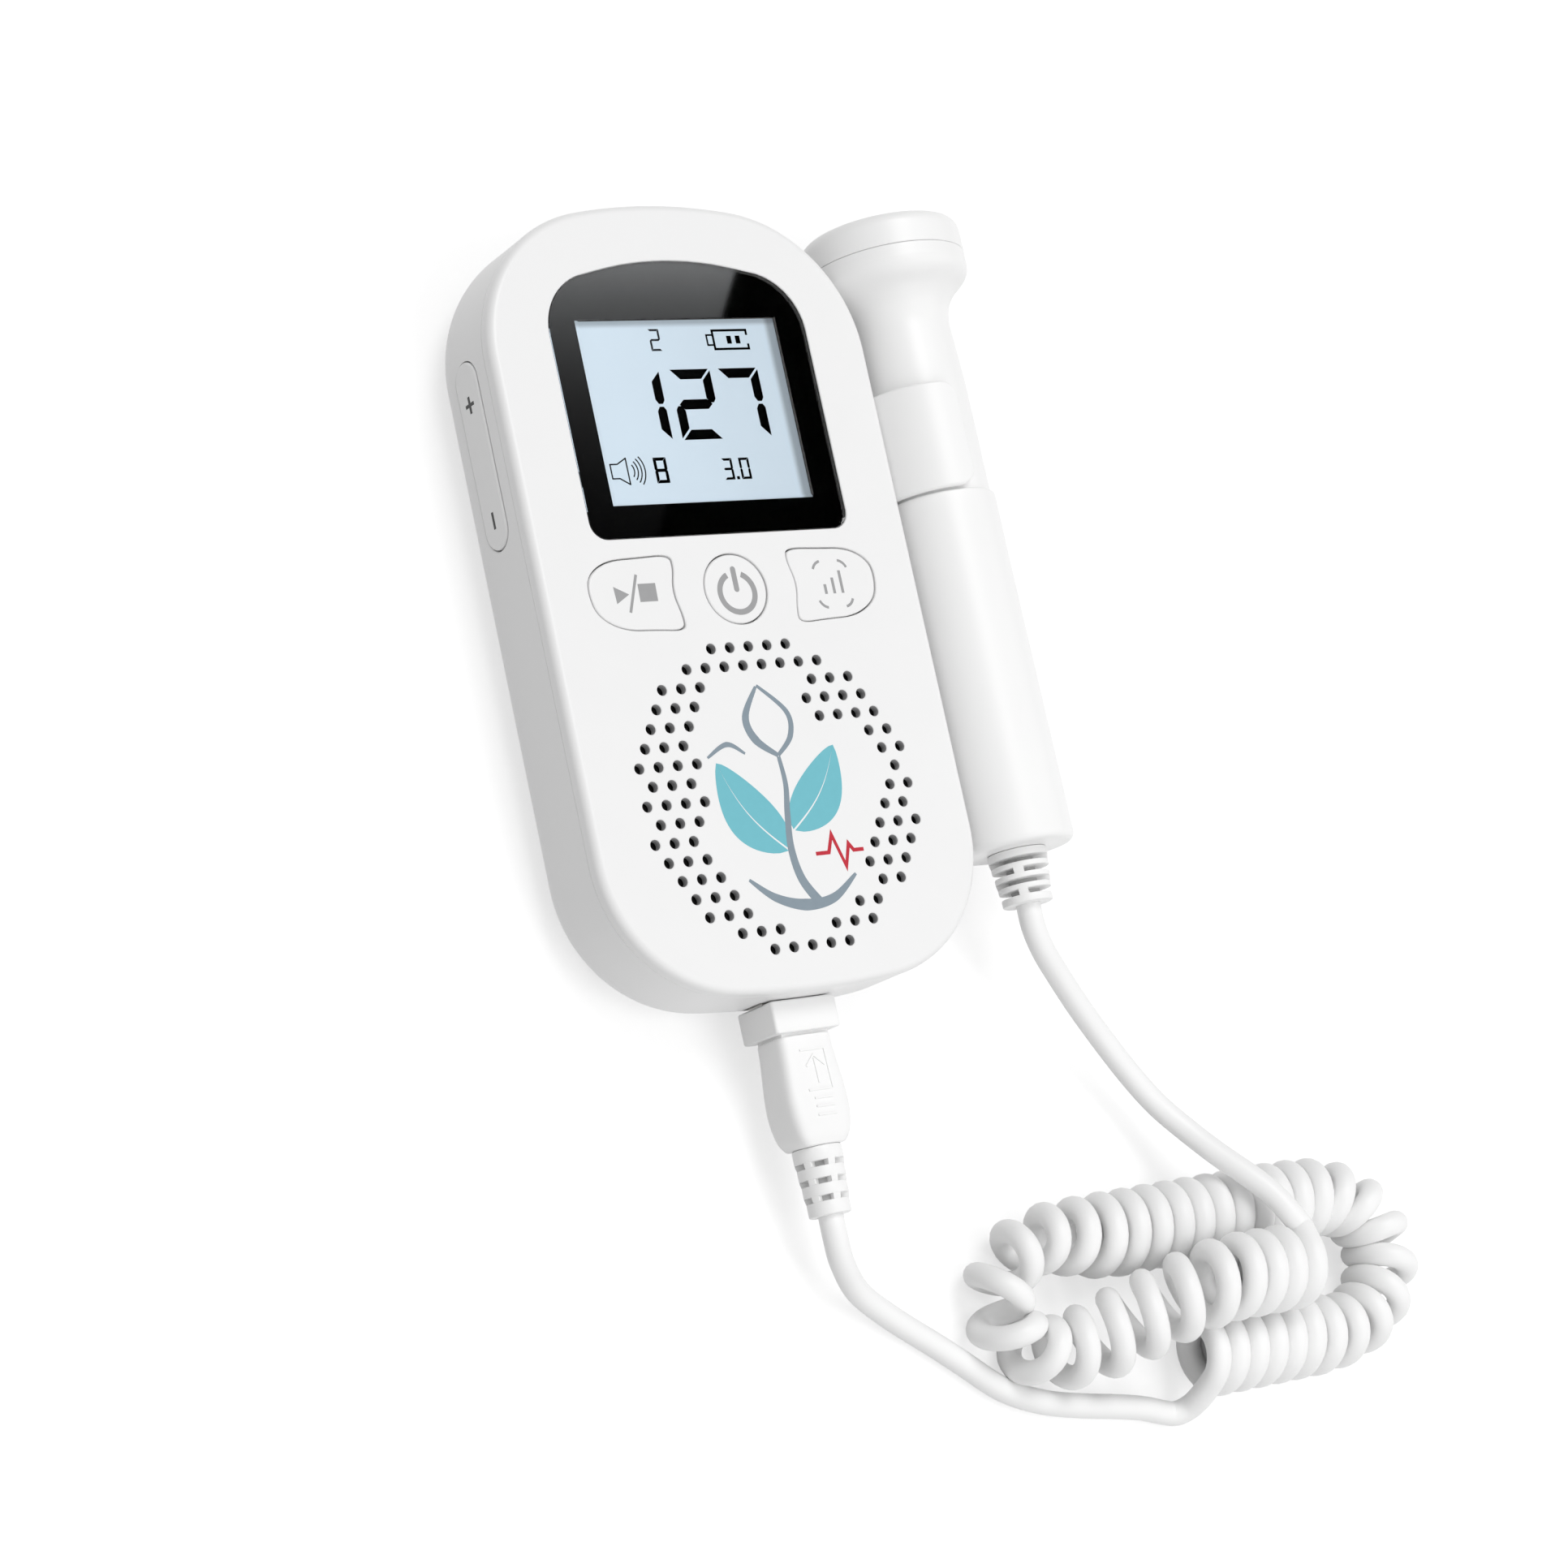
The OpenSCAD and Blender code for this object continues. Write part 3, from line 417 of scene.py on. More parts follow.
def curl_pt(u):
    """Point of the curls' centre line after u steps."""
    k = min(int(u), DRAWN_N - 1)
    s = curl_s[k] + (u - k) * (curl_s[k + 1] - curl_s[k])
    a = math.radians(FIRST_ANGLE - 360 * u / PER_CURL)
    before, after = axis_at(s - 1.5), axis_at(s + 1.5)
    w = (after - before).normalized()
    side = Vector((0, 0, 1)).cross(w).normalized()
    narrow = lookup(s, *zip(*SQUEEZE))
    r = CURL_R - (TUBE_D - CORD_D) / 2
    middle = axis_at(s) - side * (r * (1 - narrow) * lookup(s, *zip(*OUTWARD)))
    return middle + r * (math.cos(a) * narrow * side + math.sin(a) * w.cross(side))


FINE = 4   # points to a step
curl_line = [curl_pt(i / FINE) for i in range(DRAWN_N * FINE + 1)]
START_T = (curl_pt(0.1) - curl_pt(0)).normalized()
END_T = (curl_pt(DRAWN_N) - curl_pt(DRAWN_N - 0.1)).normalized()
curl_line = [curl_line[0] - CORD_D * START_T] + curl_line + [curl_line[-1] + CORD_D * END_T]


def tube(name, line, r, sides, first_side, end_t=None):
    """A closed tube round the line, its rings carried along without twist."""
    n = len(line)
    rings = []
    side = Vector(first_side)
    for i, q in enumerate(line):
        t = (line[min(i + 1, n - 1)] - line[max(i - 1, 0)]).normalized()
        if i == n - 1 and end_t is not None:
            t = end_t
        side = (side - side.dot(t) * t).normalized()
        up = t.cross(side)
        rings.append([q + r * (math.cos(2 * math.pi * j / sides) * side
                               + math.sin(2 * math.pi * j / sides) * up) for j in range(sides)])
    return Build().loft(rings).object(name, MATS["white_flex"])


probe_line = spline(probe_pts + [tuple(curl_line[-1])], 5, curl_line[-1] - 3 * END_T)
plug_line = spline(plug_pts + [tuple(curl_line[0])], 5, curl_line[0] + 3 * START_T)
for q in plug_line:
    q.z = max(q.z, TUBE_D / 2 + 0.05)   # on the table, not in it
probe_cord = tube("probe_cord_tube", probe_line, TUBE_D / 2, 20, (1, 0.4, 0.1), -END_T)
coil = tube("curly_cord_tube", curl_line, TUBE_D / 2, 16, (0.3, 1, 0.2))
plug_cord = tube("plug_cord_tube", plug_line, TUBE_D / 2, 20, (-0.4, 1, 0.1), START_T)
for ob, node in ((probe_cord, "probe_cord"), (coil, "curly_cord"), (plug_cord, "plug_cord")):
    dress(ob, "unit" if ob is coil else None, [node], 40, False)
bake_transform(probe_cord)
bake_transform(plug_cord)


# ---------------------------------------------------------------- main unit
BODY_W, BODY_L, BODY_T, WALL = 74.6, 137.4, 23.0, 2.0
BACK_R, FRONT_R = 9.0, 3.0
EDGE_R = 1.5   # rounding of the front edge as it shows
HALF_L, HALF_W = BODY_L / 2, BODY_W / 2
SEAM = BODY_T - FRONT_R
# the outline: corners of radius TOP_R and LOW_R, and end arcs that rise TOP_SAG and LOW_SAG over the width
TOP_R, LOW_R = 26.0, 24.0
TOP_SAG, LOW_SAG = 7.5, 4.5
BIG_T = (HALF_W ** 2 + TOP_SAG ** 2) / (2 * TOP_SAG)
BIG_B = (HALF_W ** 2 + LOW_SAG ** 2) / (2 * LOW_SAG)
CXT, CXB = HALF_W - TOP_R, HALF_W - LOW_R
TY, BY = HALF_L - BIG_T, BIG_B - HALF_L
CYT = TY + math.sqrt((BIG_T - TOP_R) ** 2 - CXT ** 2)
CYB = BY - math.sqrt((BIG_B - LOW_R) ** 2 - CXB ** 2)
AT = math.degrees(math.atan2(CXT, CYT - TY))
AB = math.degrees(math.atan2(CXB, BY - CYB))
GRILLE_Y = -UP
PLUG_Z = 11.2


def outline(d=0.0, n=28, m=12):
    """The housing's outline, d inside; n steps a corner, m steps an end arc."""
    return (arc(CXT, CYT, TOP_R - d, 0, 90 - AT, n) + arc(0, TY, BIG_T - d, 90 - AT, 90 + AT, m, 1)
            + arc(-CXT, CYT, TOP_R - d, 90 + AT, 180, n, 1)
            + arc(-CXB, CYB, LOW_R - d, 180, 270 - AB, n)
            + arc(0, BY, BIG_B - d, 270 - AB, 270 + AB, m, 1)
            + arc(CXB, CYB, LOW_R - d, 270 + AB, 360, n, 1))


def ring(d, z):
    return [(x, y, z) for x, y in outline(d)]


# the left key's outline, before its corners are cut
LEAF = [(-28.4, 0.3), (-27.9, 3.6), (-24, 6.0), (-18, 6.2), (-11.9, 6.5), (-11.3, 4.6),
        (-12.5, 0.2), (-11.4, -4.2), (-11.5, -6.5), (-17, -6.1), (-23, -5.9), (-27.4, -3.4)]


def corner_cut(p, n):
    """Rounds a closed polygon by cutting a quarter off each side's ends, n times."""
    for _ in range(n):
        p = [q for (ax, ay), (bx, by) in zip(p, p[1:] + p[:1])
             for q in ((0.75 * ax + 0.25 * bx, 0.75 * ay + 0.25 * by),
                       (0.25 * ax + 0.75 * bx, 0.25 * ay + 0.75 * by))]
    return p


LEAF_FINE = corner_cut(LEAF, 4)
LEAF_X, LEAF_HALF_W, LEAF_HALF_H = -19.5, 8.5, 7


def leaf(grow=0.0, side=1):
    """Outline of the left key (side 1) or the right one (-1), about grow larger all round."""
    wide, high = 1 + grow / LEAF_HALF_W, 1 + grow / LEAF_HALF_H
    return [(side * (LEAF_X + (x - LEAF_X) * wide), y * high) for x, y in LEAF_FINE]


MASK_LO, MASK_HI, MASK_W, WINDOW_Y = 9.7, 58.3, 25.5, 31.8
MASK_LOW_R, MASK_TOP_R, MASK_DROP, MASK_ARC = 3, 11, 13, 60


def mask_pts(d=0.0):
    """The window frame's outline: lower corners, upper corners MASK_DROP down, and a wide top arc."""
    low, top = MASK_W - MASK_LOW_R, MASK_W - MASK_TOP_R
    return (arc(low, MASK_LO + MASK_LOW_R, MASK_LOW_R - d, -90, 0, 6)
            + arc(top, MASK_HI - MASK_DROP, MASK_TOP_R - d, 0, 72, 14)
            + arc(0, MASK_HI - MASK_ARC, MASK_ARC - d, 90 - 13.2, 90 + 13.2, 12)
            + arc(-top, MASK_HI - MASK_DROP, MASK_TOP_R - d, 108, 180, 14)
            + arc(-low, MASK_LO + MASK_LOW_R, MASK_LOW_R - d, 180, 270, 6))


# the grille's rows from the top; a row's holes in half pitches from its middle
ROWS = [
    [-4, -2, 0, 2, 4], [-7, -5, -3, -1, 1, 3, 5, 7], [-10, -8, -6, 6, 8, 10],
    [-11, -9, -7, 5, 7, 9, 11], [-12, -10, -8, 6, 8, 10, 12], [-13, -11, -9, 11, 13],
    [-14, -12, -10, -8, 12, 14], [-13, -11, -9, 13], [-14, -12, -10, -8, 12, 14],
    [-13, -11, -9, 11, 13], [-14, -12, -10, 10, 12, 14], [-13, -11, -9, 9, 11, 13],
    [-12, -10, -8, 8, 10, 12], [-11, -9, -7, 9, 11], [-10, -8, -6, 6, 8],
    [-7, -5, -3, 3, 5, 7], [-4, -2, 0, 2, 4]]
HOLE_R, HOLE_PITCH, ROW_STEP = 0.925, 3.7, 0.866
HOLES = [(u * HOLE_PITCH / 2, GRILLE_Y + (len(ROWS) // 2 - j) * HOLE_PITCH * ROW_STEP)
         for j, row in enumerate(ROWS) for u in row]
HOLE_SPLIT = 21.5   # above it the holes' walls get a grey painted shade, below it a black painted shade
CASE_POSTS = [(-28, 50), (28, 50), (-26, -56), (26, -56)]
BOARD_POSTS = [(-27, 14), (27, 14), (-27, 42), (27, 42)]


def flared(b, shape, z0, edge=0.13, split=()):
    """A cutter whose upper end opens out, so that the cut's rim gets a small chamfer."""
    b.loft([[(x, y, z) for x, y in shape(g)] for g, z in
            ((0, z0), *[(0, z) for z in split], (0, BODY_T - edge), (edge, BODY_T),
             (edge * 3, BODY_T + edge * 2))])


def front_cover():
    rings = [ring(2.8, 21), ring(2.0, 20), ring(0.16, SEAM), ring(0.03, SEAM + 0.14)]
    rings += [ring(0, SEAM + 0.3)] + [ring(d, BODY_T - EDGE_R + z) for d, z in rounding(EDGE_R, 10)]
    ob = Build().loft(rings).object("front_shell", MATS["white_gloss"])
    posts = Build()
    for x, y in CASE_POSTS:
        posts.prism(circle(x, y, 3.2, 32), 12.1, 21.4)
    for x, y in BOARD_POSTS:
        posts.prism(circle(x, y, 2.2, 24), 18.15, 21.4)
    boolean(ob, posts, "UNION")
    cuts = Build()
    flared(cuts, lambda g: mask_pts(-0.1 - g), BODY_T - 1.2)
    for side in (1, -1):
        flared(cuts, lambda g: leaf(0.25 + g, side), 20)
    flared(cuts, lambda g: circle(0, 0, 6.25 + g, 96), 20)
    for x, y in HOLES:
        flared(cuts, lambda g: circle(x, y, HOLE_R + g, 28), 20, 0.1, (HOLE_SPLIT,))
    boolean(ob, cuts)
    holes = Build().box((-23.6, WINDOW_Y - 19.6, 19), (23.6, WINDOW_Y + 19.6, 22.4))
    for x, y in CASE_POSTS:
        holes.prism(circle(x, y, 1.32, 20), 11, 20.5)
    for x, y in BOARD_POSTS:
        holes.prism(circle(x, y, 0.92, 16), 17, 20.8)
    boolean(ob, holes)
    ob.data.materials.append(HOLE_SHADE)
    ob.data.materials.append(HOLE_DEEP_SHADE)
    # the holes' walls get painted shade, grey above HOLE_SPLIT and black below it
    for f in ob.data.polygons:
        x, y, z = f.center.x / MM, f.center.y / MM - UP, f.center.z / MM
        upright = abs(f.normal.z) < 0.3 and z < BODY_T - 0.05
        if upright and min(math.hypot(x - a, y - b) for a, b in HOLES) < HOLE_R + 0.035:
            f.material_index = 1 if z > HOLE_SPLIT else 2
    dress(ob, "unit", ["front_cover"])


def stadium(cy, cz, half, r, n=16):
    return arc(cy + half, cz, r, -90, 90, n) + arc(cy - half, cz, r, 90, 270, n)


ROCKER_Y, ROCKER_Z, ROCKER_HALF = 28.0, 13.2, 12.7


def back_edge(d, n):
    """Rings of the back's rounded edge, d inside the outline, from the flat back up to the wall."""
    r = BACK_R - d
    turns = [math.pi / 2 * i / n for i in range(n, -1, -1)]
    return [ring(d + r * (1 - math.cos(t)), d + r * (1 - math.sin(t))) for t in turns]


def back_cover():
    rings = back_edge(0, 16) + [ring(0.03, SEAM - 0.14), ring(0.16, SEAM), ring(WALL, SEAM)]
    ob = Build().loft(rings + back_edge(WALL, 8)[::-1]).object("back_shell", MATS["white_gloss"])
    more = Build().box((-16.2, -9.2, 1.7), (16.2, 51.2, 17))   # battery cradle
    more.box((-8.5, -66.9, 1.5), (8.5, -55.9, 7))              # socket's seat
    for x, y in CASE_POSTS:
        more.prism(circle(x, y, 4, 32), 1.2, 12)
    inner = more.object("posts")
    inside = 0.6   # posts, cradle and seat end this far inside the rounded edge
    boolean(inner, Build().loft(back_edge(inside, 16) + [ring(inside, SEAM - 0.5)]), "INTERSECT")
    boolean(ob, inner, "UNION")
    boolean(ob, Build().box((-19, -21, 1.7), (19, 53, 3.2)), "UNION")
    # battery bay, and the door's place with its rails
    boolean(ob, Build().box((-14.8, -7.2, -1), (14.8, 49.2, 16.15)))
    boolean(ob, Build().box((-16.6, -20, -1), (16.6, 51.6, 1.75)))
    boolean(ob, Build().box((-17.6, -20, 0.8), (17.6, 51.6, 1.75)))
    cuts = Build()
    for x, y in CASE_POSTS:
        cuts.loft([[(px, py, z) for px, py in circle(x, y, r, 32)] for r, z in
                   ((3.5, -0.4), (3.1, 0), (2.9, 0.2), (2.9, 7))])
    side = [(-HALF_W + d, g) for d, g in ((-0.3, 0.4), (0, 0.13), (0.13, 0), (4, 0))]
    cuts.loft([[(x, y, z) for y, z in stadium(ROCKER_Y, ROCKER_Z, ROCKER_HALF, 3.75 + g)] for x, g in side])
    cuts.box((-6.9, -70, PLUG_Z - 3.15), (6.9, -66, PLUG_Z + 3.15))
    boolean(ob, cuts)
    boolean(ob, Build().box((-6.75, -66.2, PLUG_Z - 3.05), (6.75, -53.2, PLUG_Z + 3.95)))
    dress(ob, "unit", ["back_cover"])


def key_cap(name, shape, body, node):
    """A front key: flange behind the cover, cap with a rounded rim."""
    rings = [(0.9, 20.3), (0.9, 20.95), (0, 20.95), (0, 22.6)]
    rings += [(-d, 22.6 + z) for d, z in rounding(0.35, 5, 1)]
    b = Build().loft([[(x, y, z) for x, y in shape(g)] for g, z in rings])
    dress(b.object(name, MATS["white_gloss"]), body, [node])


def plate(name, polygons, z0, z1, material, body, slot=None):
    """Thin flat shapes, such as print and signs."""
    b = Build()
    for p in polygons:
        b.prism(p, z0, z1)
    dress(b.object(name, material), body, angle=20, weighted=False)


def box_pts(x0, y0, x1, y1):
    return [(x0, y0), (x1, y0), (x1, y1), (x0, y1)]


def band(cx, cy, r0, r1, a, b, n=24):
    return arc(cx, cy, r1, a, b, n) + arc(cx, cy, r0, b, a, n)


def stroke(points, widths, n=8, smooth=True):
    """Outline of a line whose width changes along it; without smooth, with mitred corners."""
    line = spline([(x, y, 0) for x, y in points], n) if smooth else [Vector((x, y, 0)) for x, y in points]
    left, right = [], []
    for i, p in enumerate(line):
        t = (line[min(i + 1, len(line) - 1)] - line[max(i - 1, 0)]).normalized()
        if not smooth and 0 < i < len(line) - 1:
            t = ((line[i + 1] - p).normalized() + (p - line[i - 1]).normalized()).normalized()
        u = i / (len(line) - 1) * (len(widths) - 1)
        k = min(int(u), len(widths) - 2)
        w = widths[k] + (widths[k + 1] - widths[k]) * (u - k)
        if not smooth and 0 < i < len(line) - 1:
            w /= max(0.35, abs(t.dot((p - line[i - 1]).normalized())))
        side = Vector((-t.y, t.x, 0)) * (w / 2)
        left.append((p.x + side.x, p.y + side.y))
        right.append((p.x - side.x, p.y - side.y))
    return left + right[::-1]


front_cover()
back_cover()
key_cap("key_play_stop", leaf, "play_stop_key", "play_stop_button")
key_cap("key_power", lambda g: circle(0, 0, 6 + g, 96), "power_key", "power_button")
key_cap("key_mode", lambda g: leaf(g, -1), "mode_key", "mode_button")

SIGN_Z = (22.94, 22.975)   # print on the keys, bottom and top
plate("sign_play_stop", [
    [(-23.65, 37.25 - UP), (-23.5, 34.3 - UP), (-20.9, 35.8 - UP)],
    stroke([(-18.85, 39.1 - UP), (-21.3, 32.7 - UP)], [0.5, 0.5], smooth=False),
    [(-19.0, 34.4 - UP), (-15.6, 34.4 - UP), (-15.5, 37.5 - UP), (-18.9, 37.5 - UP)]],
    *SIGN_Z, SIGN, "play_stop_key", "white_gloss")
plate("sign_power", [
    band(0.15, -0.7, 2.9, 3.9, 114, 426, 48),
    arc(0.15, -0.1, 0.5, 180, 360, 8) + arc(0.15, 3.4, 0.5, 0, 180, 8)],
    *SIGN_Z, SIGN, "power_key", "white_gloss")
plate("sign_mode", [
    band(18.1, 1.9, 1.8, 2.25, 100, 160, 8), band(21.1, 1.9, 1.8, 2.25, 20, 80, 8),
    band(18.1, -2.3, 1.8, 2.25, 200, 260, 8), band(21.1, -2.3, 1.8, 2.25, 280, 340, 8),
    *[box_pts(x - 0.27, -1.9, x + 0.27, y) for x, y in ((17.9, -0.2), (19.6, 0.9), (21.3, 2.1))]],
    *SIGN_Z, SIGN, "mode_key", "white_gloss")


def rocker():
    """Volume key: a bar with a flange at each end, a pad at its pivot and its two signs."""
    face = -37.2
    xs = [(-34.45, 0.0), (face, 0.0)] + [(face - z, -d) for d, z in rounding(0.35, 5, 1)]
    b = Build().loft([[(x, y, z) for y, z in stadium(ROCKER_Y, ROCKER_Z, ROCKER_HALF, 3.5 + g)]
                      for x, g in xs])
    b.box((-34.5, ROCKER_Y + 3.3, ROCKER_Z - 4.1), (-33.9, ROCKER_Y + 16.7, ROCKER_Z + 4.1))
    b.box((-34.5, ROCKER_Y - 16.7, ROCKER_Z - 4.1), (-33.9, ROCKER_Y - 3.3, ROCKER_Z + 4.1))
    b.box((-34.6, ROCKER_Y - 1.7, ROCKER_Z - 2.8), (-34.0, ROCKER_Y + 1.7, ROCKER_Z + 2.8))
    dress(b.object("rocker_key", MATS["white_gloss"]), "volume_key", ["volume_rocker"])
    b = Build()
    x0, x1 = -37.58, -37.5
    plus_y, minus_y, long, thin = 72.6 - UP, 52.5 - UP, 1.45, 0.32
    b.box((x0, plus_y - long, ROCKER_Z - thin), (x1, plus_y + long, ROCKER_Z + thin))
    b.box((x0 + 0.001, plus_y - 0.3, ROCKER_Z - 1.4), (x1, plus_y + 0.3, ROCKER_Z + 1.4))
    b.box((x0, minus_y - long, ROCKER_Z - thin), (x1, minus_y + long, ROCKER_Z + thin))
    dress(b.object("rocker_marks", MARK), "volume_key", angle=20, weighted=False)


rocker()


# ---------------------------------------------------------------- display
def digit(ch, x, y, w, h, t, g):
    """Seven-segment figure: its lower left corner, size, stroke and gap."""
    m, top, r = y + h / 2, y + h, x + w
    seg = {
        "a": [(x + g, top), (r - g, top), (r - t - g, top - t), (x + t + g, top - t)],
        "d": [(x + g, y), (r - g, y), (r - t - g, y + t), (x + t + g, y + t)],
        "g": [(x + g + t * 0.3, m), (x + g + t * 0.85, m + t / 2), (r - g - t * 0.85, m + t / 2),
              (r - g - t * 0.3, m), (r - g - t * 0.85, m - t / 2), (x + g + t * 0.85, m - t / 2)],
    }
    up = [(0, h / 2 - g), (0, t * 0.35 + g), (-t * 0.25, g * 0.9), (-t * 0.7, g * 0.9),
          (-t, t * 0.45 + g), (-t, h / 2 - t - g)]
    seg["b"] = [(r + a, m + b) for a, b in up]
    seg["c"] = [(r + a, m - b) for a, b in up]
    seg["f"] = [(x - a, m + b) for a, b in up]
    seg["e"] = [(x - a, m - b) for a, b in up]
    lit = {"0": "abcdef", "1": "bc", "2": "abged", "3": "abgcd", "7": "abc", "8": "abcdefg"}[ch]
    return [seg[s] for s in lit]


def display():
    z = (21.705, 21.76)
    figures = (("1", -13.5, 62.4, 8.2, 12.5, 1.75, 0.28), ("2", -3.3, 62.4, 8.2, 12.5, 1.75, 0.28),
               ("7", 6.4, 62.4, 8.2, 12.5, 1.75, 0.28), ("8", -10.1, 55.0, 2.5, 4.5, 0.55, 0.03),
               ("3", 3.4, 55.1, 2.0, 3.8, 0.42, 0.03), ("0", 6.8, 55.1, 2.0, 3.8, 0.42, 0.03))
    bold = [part for ch, x, y, *sizes in figures for part in digit(ch, x, y - UP, *sizes)]
    # the decimal point, then the battery sign
    bold += [box_pts(x0, y0 - UP, x1, y1 - UP) for x0, y0, x1, y1 in (
        (5.8, 55.1, 6.35, 55.65),
        (6.85, 81.55, 14.1, 81.95), (6.85, 78.2, 14.1, 78.6), (6.85, 78.6, 7.25, 81.55),
        (13.7, 80.85, 14.1, 81.55), (13.7, 78.6, 14.1, 79.3), (5.6, 79.0, 5.9, 81.1),
        (5.9, 80.8, 6.85, 81.1), (5.9, 79.0, 6.85, 79.3), (9.75, 79.35, 10.65, 80.75),
        (11.5, 79.35, 12.4, 80.75))]
    plate("lcd_figures", bold, *z, INK, "unit", "black_parts")
    # a small figure, and the loudspeaker sign with its waves
    thin = digit("2", -5.7, 78.3 - UP, 2.1, 3.9, 0.36, 0.03)
    thin += [stroke(p, [0.24, 0.24], smooth=False) for p in (
        [(-18.6, 58.6 - UP), (-17.2, 58.6 - UP), (-15.4, 59.6 - UP)],
        [(-18.6, 56.1 - UP), (-17.2, 56.1 - UP), (-15.4, 55.0 - UP)],
        [(-18.6, 58.7 - UP), (-18.6, 56.0 - UP)], [(-15.4, 59.7 - UP), (-15.4, 54.9 - UP)])]
    thin += [band(-15.8, 57.35 - UP, r - 0.11, r + 0.11, -a, a, 10)
             for r, a in ((1.7, 38), (2.4, 42), (3.1, 42), (3.8, 40))]
    plate("lcd_small_signs", thin, *z, INK_THIN, "unit", "black_parts")


display()


# ---------------------------------------------------------------- print in the middle of the grille
def leaf_halves(base, tip, width, bend, gap=0.35):
    """A leaf as two halves on either side of its vein."""
    a, b = Vector((*base, 0)), Vector((*tip, 0))
    along = b - a
    side = Vector((-along.y, along.x, 0)).normalized()
    n = 24
    halves = []
    for s in (1, -1):
        outer, inner = [], []
        for i in range(n + 1):
            t = i / n
            mid = a + along * t + side * (bend * math.sin(math.pi * t))
            half = width / 2 * math.sin(math.pi * t ** 0.8) ** 0.75
            vein = gap / 2 * (1 - t)
            outer.append(mid + side * s * (max(half, vein) + 0.001))
            inner.append(mid + side * s * vein)
        halves.append([(p.x, p.y) for p in outer] + [(p.x, p.y) for p in inner[::-1][1:-1]])
    return halves


def motif():
    """A sprout with two leaves, a bud and the ground line, and a short pulse line beside it."""
    bottom, top = 22.99, 23.025

    def low(poly):
        return [(x, y - UP) for x, y in poly]
    teal = (leaf_halves((-0.6, -9.5), (-11.2, 6.2), 9.4, 1.6)
            + leaf_halves((1.2, -6.2), (12.4, 7.6), 8.6, -1.4))
    plate("print_leaves", [low(p) for p in teal], bottom, top, TEAL, "unit")
    slate = (
        ([(3.2, -18.8), (0.6, -14.5), (-0.2, -9.2), (0.5, -3.5), (1.4, 1.6), (1.2, 6.4)],
         [1.8, 1.5, 1.2, 1.0, 0.7], 10),
        ([(-9.6, -13.8), (-5.2, -17.2), (0.4, -18.9), (6.2, -18.2), (11.4, -14.6)],
         [0.5, 1.4, 2.0, 1.5, 0.5], 10),
        ([(1.2, 6.6), (-2.6, 9.6), (-3.6, 13.6), (-0.4, 18.6)], [0.7, 1.5, 1.3, 0.5], 10),
        ([(1.2, 6.6), (4.4, 9.8), (4.6, 14.0), (-0.2, 18.8)], [0.6, 1.0, 0.9, 0.5], 10),
        ([(-12.6, 7.2), (-8.4, 9.2), (-5.2, 7.4)], [0.4, 0.9, 0.4], 8))
    for k, line in enumerate(slate):   # each a little higher, so that no two tops lie in one plane
        plate("print_stroke_%d" % k, [low(stroke(*line))], bottom, top + 0.004 * (k + 1), SLATE, "unit")
    pulse = stroke([(4.4, -10.6), (7.0, -10.6), (8.2, -7.6), (9.9, -13.2), (11.2, -9.4), (12.0, -10.6),
                    (14.0, -10.6)], [0.65, 0.65], smooth=False)
    plate("print_pulse", [low(pulse)], bottom, top + 0.002, RED, "unit")


motif()


# ---------------------------------------------------------------- probe and its clip
PX, PZ = 48.8, 18.0   # the probe's axis


def lathe(profile, n=96):
    """Turns a closed (radius, y) profile about the probe's axis."""
    angles = [2 * math.pi * i / n for i in range(n)]
    return Build().loft([[(PX + r * math.sin(a), y, PZ + r * math.cos(a)) for a in angles]
                         for r, y in profile], loop=True)


def smooth_profile(points, n=5):
    return [(p.x, p.y) for p in spline([(r, y, 0) for r, y in points], n)]


def probe():
    tail, grip_r, neck_r, cap_r = -48.7, 10.4, 9.5, 14.4
    outer = [(2.6, tail), (8.6, tail)]
    outer += [(9.0 + 1.4 * math.sin(a), -47.3 - 1.4 * math.cos(a))
              for a in [math.pi / 2 * i / 8 for i in range(1, 9)]]
    outer += [(grip_r, -40), (10.3, -20), (10.2, 0), (10.2, 13.7), (10.12, 14.0), (9.95, 14.2),
              (9.7, 14.33), (neck_r, 14.37), (neck_r, 33.6)]
    outer += smooth_profile([(neck_r, 34), (9.35, 39), (9.15, 43.5), (9.15, 46.5), (9.75, 49.2),
                             (11.3, 51.5), (13.3, 53.3), (14.2, 54.6), (cap_r, 56)])
    outer += [(cap_r, 58.0), (14.3, 58.2), (12.8, 58.2)]
    inner = [(12.8, 55.4), (12.2, 54.2), (9.6, 51.6), (7.7, 47), (7.7, 14), (8.4, 12), (8.4, -46.7),
             (2.6, -46.7)]
    dress(lathe(outer + inner).object("probe_housing", PROBE_WHITE_PAINTED_LIGHT), "probe",
          ["probe_shell_front", "probe_shell_back"])
    cap = [(12.7, 55.6), (12.7, 58.3), (14.28, 58.3), (cap_r, 58.42), (cap_r, 61.6)]
    cap += [(cap_r - 1.8 + 1.8 * math.cos(a), 61.9 + 2.4 * math.sin(a))
            for a in [math.radians(10 * i) for i in range(1, 9)]]
    cap += [(12.25, 64.3), (12.0, 64.1), (12, 63.2), (11.2, 63.2), (11.2, 55.6)]
    dress(lathe(cap).object("probe_head_cap", PROBE_WHITE_PAINTED_LIGHT), "probe", ["probe_cap"])


probe()


def rolled(r, e):
    """How far an edge rounded with radius r lies inside, at e from the end."""
    return r - math.sqrt(max(0.0, r ** 2 - max(0.0, r - e) ** 2)) if e < r else 0.0


